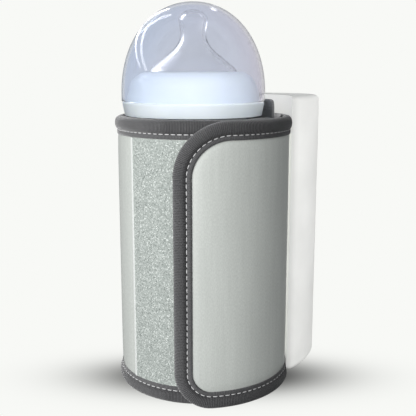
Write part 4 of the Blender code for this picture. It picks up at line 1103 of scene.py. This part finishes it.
def make_marks():
    """Raised marks for the filled volume, every third one long, up the side that faces the flap."""
    count, lowest, step = 12, 20, 8
    heights = [lowest + step * number for number in range(count)]
    angle = math.radians(-75)
    outward = (math.cos(angle), math.sin(angle), 0)
    along = (-math.sin(angle), math.cos(angle), 0)
    mesh = bpy.data.meshes.new("volume_marks")
    mesh.from_pydata([(AXIS.x + 30.3 * MM * outward[0], AXIS.y + 30.3 * MM * outward[1], z * MM)
                      for z in heights], [], [])
    obj = with_vectors(link(bpy.data.objects.new("volume_marks", mesh)), outward=[outward] * count,
                       along=[along] * count,
                       reach=[1.8 if number % 3 == 2 else 1.0 for number in range(count)])
    return repeated(obj, TICKS, {"Width": 4 * MM, "Thickness": 0.35 * MM, "Material": MARK})


marks = make_marks()
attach(marks, "bottle")


def make_collar():
    outer = smooth_curve(in_mm([(21.9, 151.5), (24.4, 151.0), (26.6, 149.9), (28.4, 148.4), (29.8, 146.2),
                                (30.8, 143.2), (31.5, 140.4), (31.8, 138.0)]), 6)
    skirt = rounded(in_mm([(31.85, 137.8), (32.0, 137.5), (33.9, 137.5), (33.85, 136.5), (32.8, 131.1),
                           (29.7, 131.1), (29.7, 133)]),
                    [0, 0.1 * MM, 0.45 * MM, 0.8 * MM, 0.3 * MM, 0.4 * MM, 0], 4)
    inner = steps_up(29.7 * MM, 133.3 * MM, 143.5 * MM, 0.4 * MM)
    top = rounded(in_mm([(28.6, 145.1), (28.6, 147.2), (21.6, 147.2), (21.6, 151.5), (21.9, 151.5)]),
                  0.3 * MM, 4)
    profile = outer + skirt + inner + top
    return threaded("collar_turned", profile[:-1] + profile[:1], (29.7 * MM, 133.4 * MM, 143.4 * MM),
                    137.0 * MM, -1)


collar = dress(make_collar(), COLLAR)
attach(collar, "collar")
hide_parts("collar")


def make_nipple():
    """The nipple, its teat's outline in shares of the tip's radius t."""
    t, top, base, throat = 6.9, 180.6, 151.5, 20.9
    outer = smooth_curve(in_mm([
        (0.01, top), (0.5 * t, top - 0.12 * t), (0.85 * t, top - 0.34 * t), (t, top - 0.68 * t),
        (0.96 * t, top - 1.06 * t), (0.9 * t, top - 1.42 * t), (0.9 * t, top - 1.75 * t),
        (0.97 * t, top - 2.12 * t), (1.22 * t, top - 2.55 * t), (1.58 * t, top - 2.91 * t),
        (2.05 * t, top - 3.29 * t), (2.62 * t, top - 3.75 * t),
        (0.97 * throat, base + 1.2), (throat, base - 0.5), (throat, 148.0)]), 6)
    outer[0] = (0, top * MM)
    rim = rounded(in_mm([(20.9, 147.4), (20.9, 146.9), (28.3, 146.9), (28.3, 145.3), (18.0, 145.3)]),
                  0.4 * MM, 3)
    inner = [(radius, height) for radius, height in inset(outer, 1.7 * MM) if height > 148.2 * MM]
    return turned("nipple_turned", outer + rim + [(19.2 * MM, 145.6 * MM)] + inner, 96)


nipple = dress(make_nipple(), NIPPLE)
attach(nipple, "nipple")
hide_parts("nipple")


def make_cap():
    """The domed cover, one even wall, its open edge with rounded corners."""
    reach, spring, top, fuller = 34.25, 141.0, 183.7, 0.95

    def arch(wall, number):
        angle = math.pi / 2 * number / 44
        return ((reach - wall) * math.cos(angle) ** fuller,
                spring + (top - wall - spring) * math.sin(angle) ** fuller)

    dome = [arch(0, number) for number in range(45)]
    inner = [arch(1.3, number) for number in range(44, -1, -1)]
    dome[-1], inner[0] = (0, top), (0, top - 1.3)
    edge = rounded(in_mm([(32.95, 139.5), (32.95, 137.8), (34.25, 137.8), (34.25, 139.5)]), 0.4 * MM, 4)
    profile = edge + in_mm(dome + inner)
    return turned("cap_dome", profile[:-1] + [profile[-1], profile[0]], 128)


cap = dress(make_cap(), CAP)
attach(cap, "cap")
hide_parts("bottle_cap")


# ---- The unit --------------------------------------------------------------------------------

front_shell = dress(refined("unit_front_shell", 0.25 * MM), CASE)
rear_shell = dress(refined("unit_rear_shell", 0.25 * MM), CASE)
button = dress(refined("power_button", 0.35 * MM, 3), BUTTON)
for piece, body in ((front_shell, "sleeve"), (rear_shell, "sleeve"), (button, "power_button")):
    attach(piece, body)


def make_power_symbol():
    """The raised on and off sign on the button: an open ring and a bar."""
    low_corner, high_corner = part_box("power_button")
    middle = (low_corner + high_corner) / 2
    middle.y = high_corner.y - 0.05 * MM
    curve = bpy.data.curves.new("power_symbol", "CURVE")
    curve.dimensions = "3D"
    curve.bevel_depth = 0.22 * MM
    curve.bevel_resolution = 3
    curve.use_fill_caps = True
    ring = [math.radians(90 + 40 + 280 * number / 40) for number in range(41)]
    paths = [[Vector((2.2 * MM * math.cos(a), 0, 2.2 * MM * math.sin(a))) for a in ring],
             [Vector((0, 0, 0.6 * MM)), Vector((0, 0, 2.9 * MM))]]
    for path in paths:
        line = curve.splines.new("POLY")
        line.points.add(len(path) - 1)
        for point, place in zip(line.points, path):
            point.co = (*(middle + place), 1)
    return baked(link(bpy.data.objects.new("power_symbol", curve)))


symbol = dress(make_power_symbol(), MARK)
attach(symbol, "power_button")

finishes = {"foam": FOAM, "film": FILM, "white_plastic": CASE, "dark_window": WINDOW, "board": BOARD,
            "cell": CELL, "steel": STEEL, "black_plastic": BLACK, "rubber": RUBBER, "lining": LINING,
            "tape": TAPE, "cover": LEATHER, "loop": LOOPS, "hook": HOOK_BACK, "clear_bottle": BOTTLE,
            "collar": COLLAR, "silicone": NIPPLE, "clear_cap": CAP}
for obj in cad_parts.values():
    for place in obj.material_slots:
        key = place.material.name.split(".")[0] if place.material else ""
        place.material = finishes.get(key, place.material)

for node_name in ("usb_c_socket", "display_window", "status_lens", *(f"case_screw_{n}" for n in range(1, 5)),
                  *(f"mounting_screw_{n}" for n in range(1, 5)), "temperature_probe"):
    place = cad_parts[node_name].material_slots[0].material
    piece = dress(refined(node_name, 0.12 * MM), place)
    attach(piece, "sleeve")


# ---- Light, floor and camera -----------------------------------------------------------------

def softbox(name, place, target, width, height, power, only, mirrored=True, alone=True):
    """A soft rectangular lamp. only lists the pieces it lights; alone says that nothing else
    shades them. mirrored says whether it shows in glossy surfaces."""
    lamp = bpy.data.lights.new(name, "AREA")
    lamp.shape = "RECTANGLE"
    lamp.size, lamp.size_y = width, height
    lamp.energy = power
    obj = link(bpy.data.objects.new(name, lamp))
    obj.location = Vector(place)
    obj.visible_glossy = mirrored
    lit = bpy.data.collections.new(name + "_lights")
    for piece in only:
        lit.objects.link(piece)
    obj.light_linking.receiver_collection = lit
    if alone:
        obj.light_linking.blocker_collection = lit
    obj.rotation_euler = (Vector(target) - obj.location).to_track_quat("-Z", "Y").to_euler()
    return obj


def strip_lamp(name, start, end, target, width, power, only):
    """A thin lamp from start to end that faces the target."""
    start, end, target = Vector(start), Vector(end), Vector(target)
    obj = softbox(name, (start + end) / 2, target, (end - start).length, width, power, only=only)
    along = (end - start).normalized()
    back = obj.location - target
    back = (back - along * back.dot(along)).normalized()
    obj.rotation_euler = Matrix((along, back.cross(along), back)).transposed().to_euler()
    return obj


def seen_from(angle, distance, height):
    """A place round the sleeve, by the angle from the camera's side: -90 is its left, 90 its right."""
    turn = math.radians(-90 + angle) + VIEW_TURN
    return (CENTRE.x + distance * math.cos(turn), CENTRE.y + distance * math.sin(turn), height)


MIDDLE_HEIGHT, HEAD_HEIGHT, ARC_REACH = 0.07, 0.16, 0.55


def round_head(angle, rise):
    """A place ARC_REACH from the bottle's top, by its angle and how far up it is."""
    rise = math.radians(rise)
    return Vector(seen_from(angle, ARC_REACH * math.cos(rise), HEAD_HEIGHT + ARC_REACH * math.sin(rise)))


CAMERA_LENS = 62.01
CAMERA_PLACE = (149.95 * MM, -313.8 * MM, 152.9 * MM)    # from the foot of the sleeve's middle
CAMERA_TILT = math.radians(11)                           # downwards

camera_data = bpy.data.cameras.new("camera")
camera_data.lens = CAMERA_LENS
camera_data.sensor_width = 36
camera_data.clip_start = 0.01
camera = link(bpy.data.objects.new("camera", camera_data))
camera.location = (CENTRE.x + CAMERA_PLACE[0], CENTRE.y + CAMERA_PLACE[1], CAMERA_PLACE[2])
look = Vector((-math.sin(VIEW_TURN), math.cos(VIEW_TURN), -math.tan(CAMERA_TILT)))
camera.rotation_euler = look.to_track_quat("-Z", "Y").to_euler()
bpy.context.scene.camera = camera

view = bpy.context.scene.view_settings
view.view_transform = "Standard"
view.look = "None"

BACKDROP = paint(248, 249, 246)
FLOOR_SIZE, FLOOR_LEVEL = 3, -0.0003
# where the painted shadow on the floor lies and how far it reaches
SHADE_MIDDLE = (0.0062, -0.0055)    # across and back from the sleeve's centre
SHADE_REACH = (0.0343, 0.0132)


def looked_at(tree):
    """One for what the camera sees, straight or through clear plastic."""
    path = node(tree, "ShaderNodeLightPath").outputs
    return calc(tree, "MAXIMUM", path["Is Camera Ray"], path["Is Transmission Ray"])


def make_world():
    world = bpy.data.worlds.new("studio")
    bpy.context.scene.world = world
    world.use_nodes = True
    tree = world.node_tree
    tree.nodes.clear()
    seen = node(tree, "ShaderNodeBackground", {"Color": BACKDROP, "Strength": 1.0}).outputs[0]
    glow = node(tree, "ShaderNodeBackground", {"Color": (0.96, 0.98, 1.0, 1), "Strength": 0.34}).outputs[0]
    both = node(tree, "ShaderNodeMixShader", {0: looked_at(tree), 1: glow, 2: seen}).outputs[0]
    out = node(tree, "ShaderNodeOutputWorld")
    tree.links.new(both, out.inputs[0])


make_world()


def floor_finish():
    """A pale sweep: what the camera sees is the backdrop's tone, with a painted shadow that darkens it close
    to the object's foot.
    """
    made = bpy.data.materials.new("pale_floor")
    made.use_nodes = True
    tree = made.node_tree
    tree.nodes.clear()
    where = node(tree, "ShaderNodeNewGeometry").outputs["Position"]
    local = node(tree, "ShaderNodeVectorMath", {0: where, 1: (CENTRE.x, CENTRE.y, 0)},
                 operation="SUBTRACT").outputs[0]
    lined_up = node(tree, "ShaderNodeVectorRotate", {"Vector": local, "Angle": -VIEW_TURN},
                    rotation_type="Z_AXIS").outputs[0]
    place = node(tree, "ShaderNodeSeparateXYZ", {0: lined_up}).outputs
    side = calc(tree, "DIVIDE", calc(tree, "SUBTRACT", place[0], SHADE_MIDDLE[0]), SHADE_REACH[0])
    side = calc(tree, "POWER", side, 2.0)
    deep = calc(tree, "DIVIDE", calc(tree, "SUBTRACT", place[1], SHADE_MIDDLE[1]), SHADE_REACH[1])
    deep = calc(tree, "POWER", deep, 2.0)
    # painted shadow: a soft oval of shade about the foot, not cast by the lamps
    shade = calc(tree, "EXPONENT", calc(tree, "MULTIPLY", calc(tree, "ADD", side, deep), -0.5))
    level = calc(tree, "SUBTRACT", 1.0, calc(tree, "MULTIPLY", shade, 1.05))
    level = calc(tree, "POWER", calc(tree, "MAXIMUM", level, 0.35), 2.25)
    tone = mixed(tree, level, (0, 0, 0, 1), BACKDROP)
    seen = node(tree, "ShaderNodeEmission", {"Color": tone, "Strength": 1.0}).outputs[0]
    matt = node(tree, "ShaderNodeBsdfDiffuse", {"Color": (0.4, 0.4, 0.4, 1)}).outputs[0]
    both = node(tree, "ShaderNodeMixShader", {0: looked_at(tree), 1: matt, 2: seen}).outputs[0]
    out = node(tree, "ShaderNodeOutputMaterial")
    tree.links.new(both, out.inputs[0])
    return made


floor_corners = [(x * FLOOR_SIZE, y * FLOOR_SIZE, FLOOR_LEVEL)
                 for x, y in ((-1, -1), (1, -1), (1, 1), (-1, 1))]
floor = mesh_object("floor", floor_corners, [(0, 1, 2, 3)])
dress(floor, floor_finish())

unit_pieces = [front_shell, rear_shell, button]
tape_pieces = [bpy.data.objects[name] for name in ("top_tape", "bottom_tape", "flap_tape")]
middle, head = seen_from(0, 0, MIDDLE_HEIGHT), seen_from(0, 0, HEAD_HEIGHT)
others = [obj for obj in bpy.context.scene.objects if obj.type == "MESH" and not obj.hide_render
          and obj not in (cap, nipple, collar, *unit_pieces, *tape_pieces)]
softbox("key", seen_from(-32, 0.62, 0.2), middle, 0.4, 0.5, 4.3, only=others, alone=False)
for side, angle, distance, height, width, power in (("right", 75, 0.7, 0.2, 0.4, 3.1),
                                                    ("front", 0, 0.7, 0.2, 0.4, 1.7),
                                                    ("left", -80, 0.7, 0.2, 0.4, 3.4),
                                                    ("rear", 172, 0.8, 0.3, 0.5, 4.0)):
    softbox(f"unit_{side}_fill", seen_from(angle, distance, height), middle, width, 0.5, power,
            only=unit_pieces, mirrored=False)
softbox("collar_key", seen_from(-6, 0.6, 0.3), head, 1.3, 0.3, 5.7, only=[collar], mirrored=False)
softbox("collar_top", seen_from(-30, 0.15, 0.7), head, 0.3, 0.3, 0.5, only=[collar], mirrored=False)
softbox("collar_glint", seen_from(-2, 0.6, 0.4), head, 0.05, 0.12, 0.3, only=[collar])
softbox("tape_key", seen_from(-43, 0.62, 0.25), middle, 0.4, 0.5, 10.5, only=tape_pieces, mirrored=False)
softbox("leather_side", seen_from(72, 0.7, 0.2), middle, 0.4, 0.5, 0.3, only=[flap_leather], mirrored=False)
softbox("rear_fill", seen_from(170, 0.8, 0.15), middle, 0.5, 0.5, 2.6, only=[*others, *tape_pieces, collar],
        mirrored=False, alone=False)
strip_lamp("arc_upright", round_head(-139, 29), round_head(-138, 57), head, 0.02, 0.11, [cap])
strip_lamp("arc_level", round_head(-139, 29), round_head(-80, 14), head, 0.018, 0.16, [cap])
softbox("leaf_box", seen_from(-104, 0.46, 0.42), head, 1.0, 0.4, 1.0, only=[nipple])
softbox("cap_glint", seen_from(164, 0.46, 0.55), head, 0.04, 0.04, 0.012, only=[cap])
for piece in (cap, nipple, bottle):
    piece.visible_shadow = False
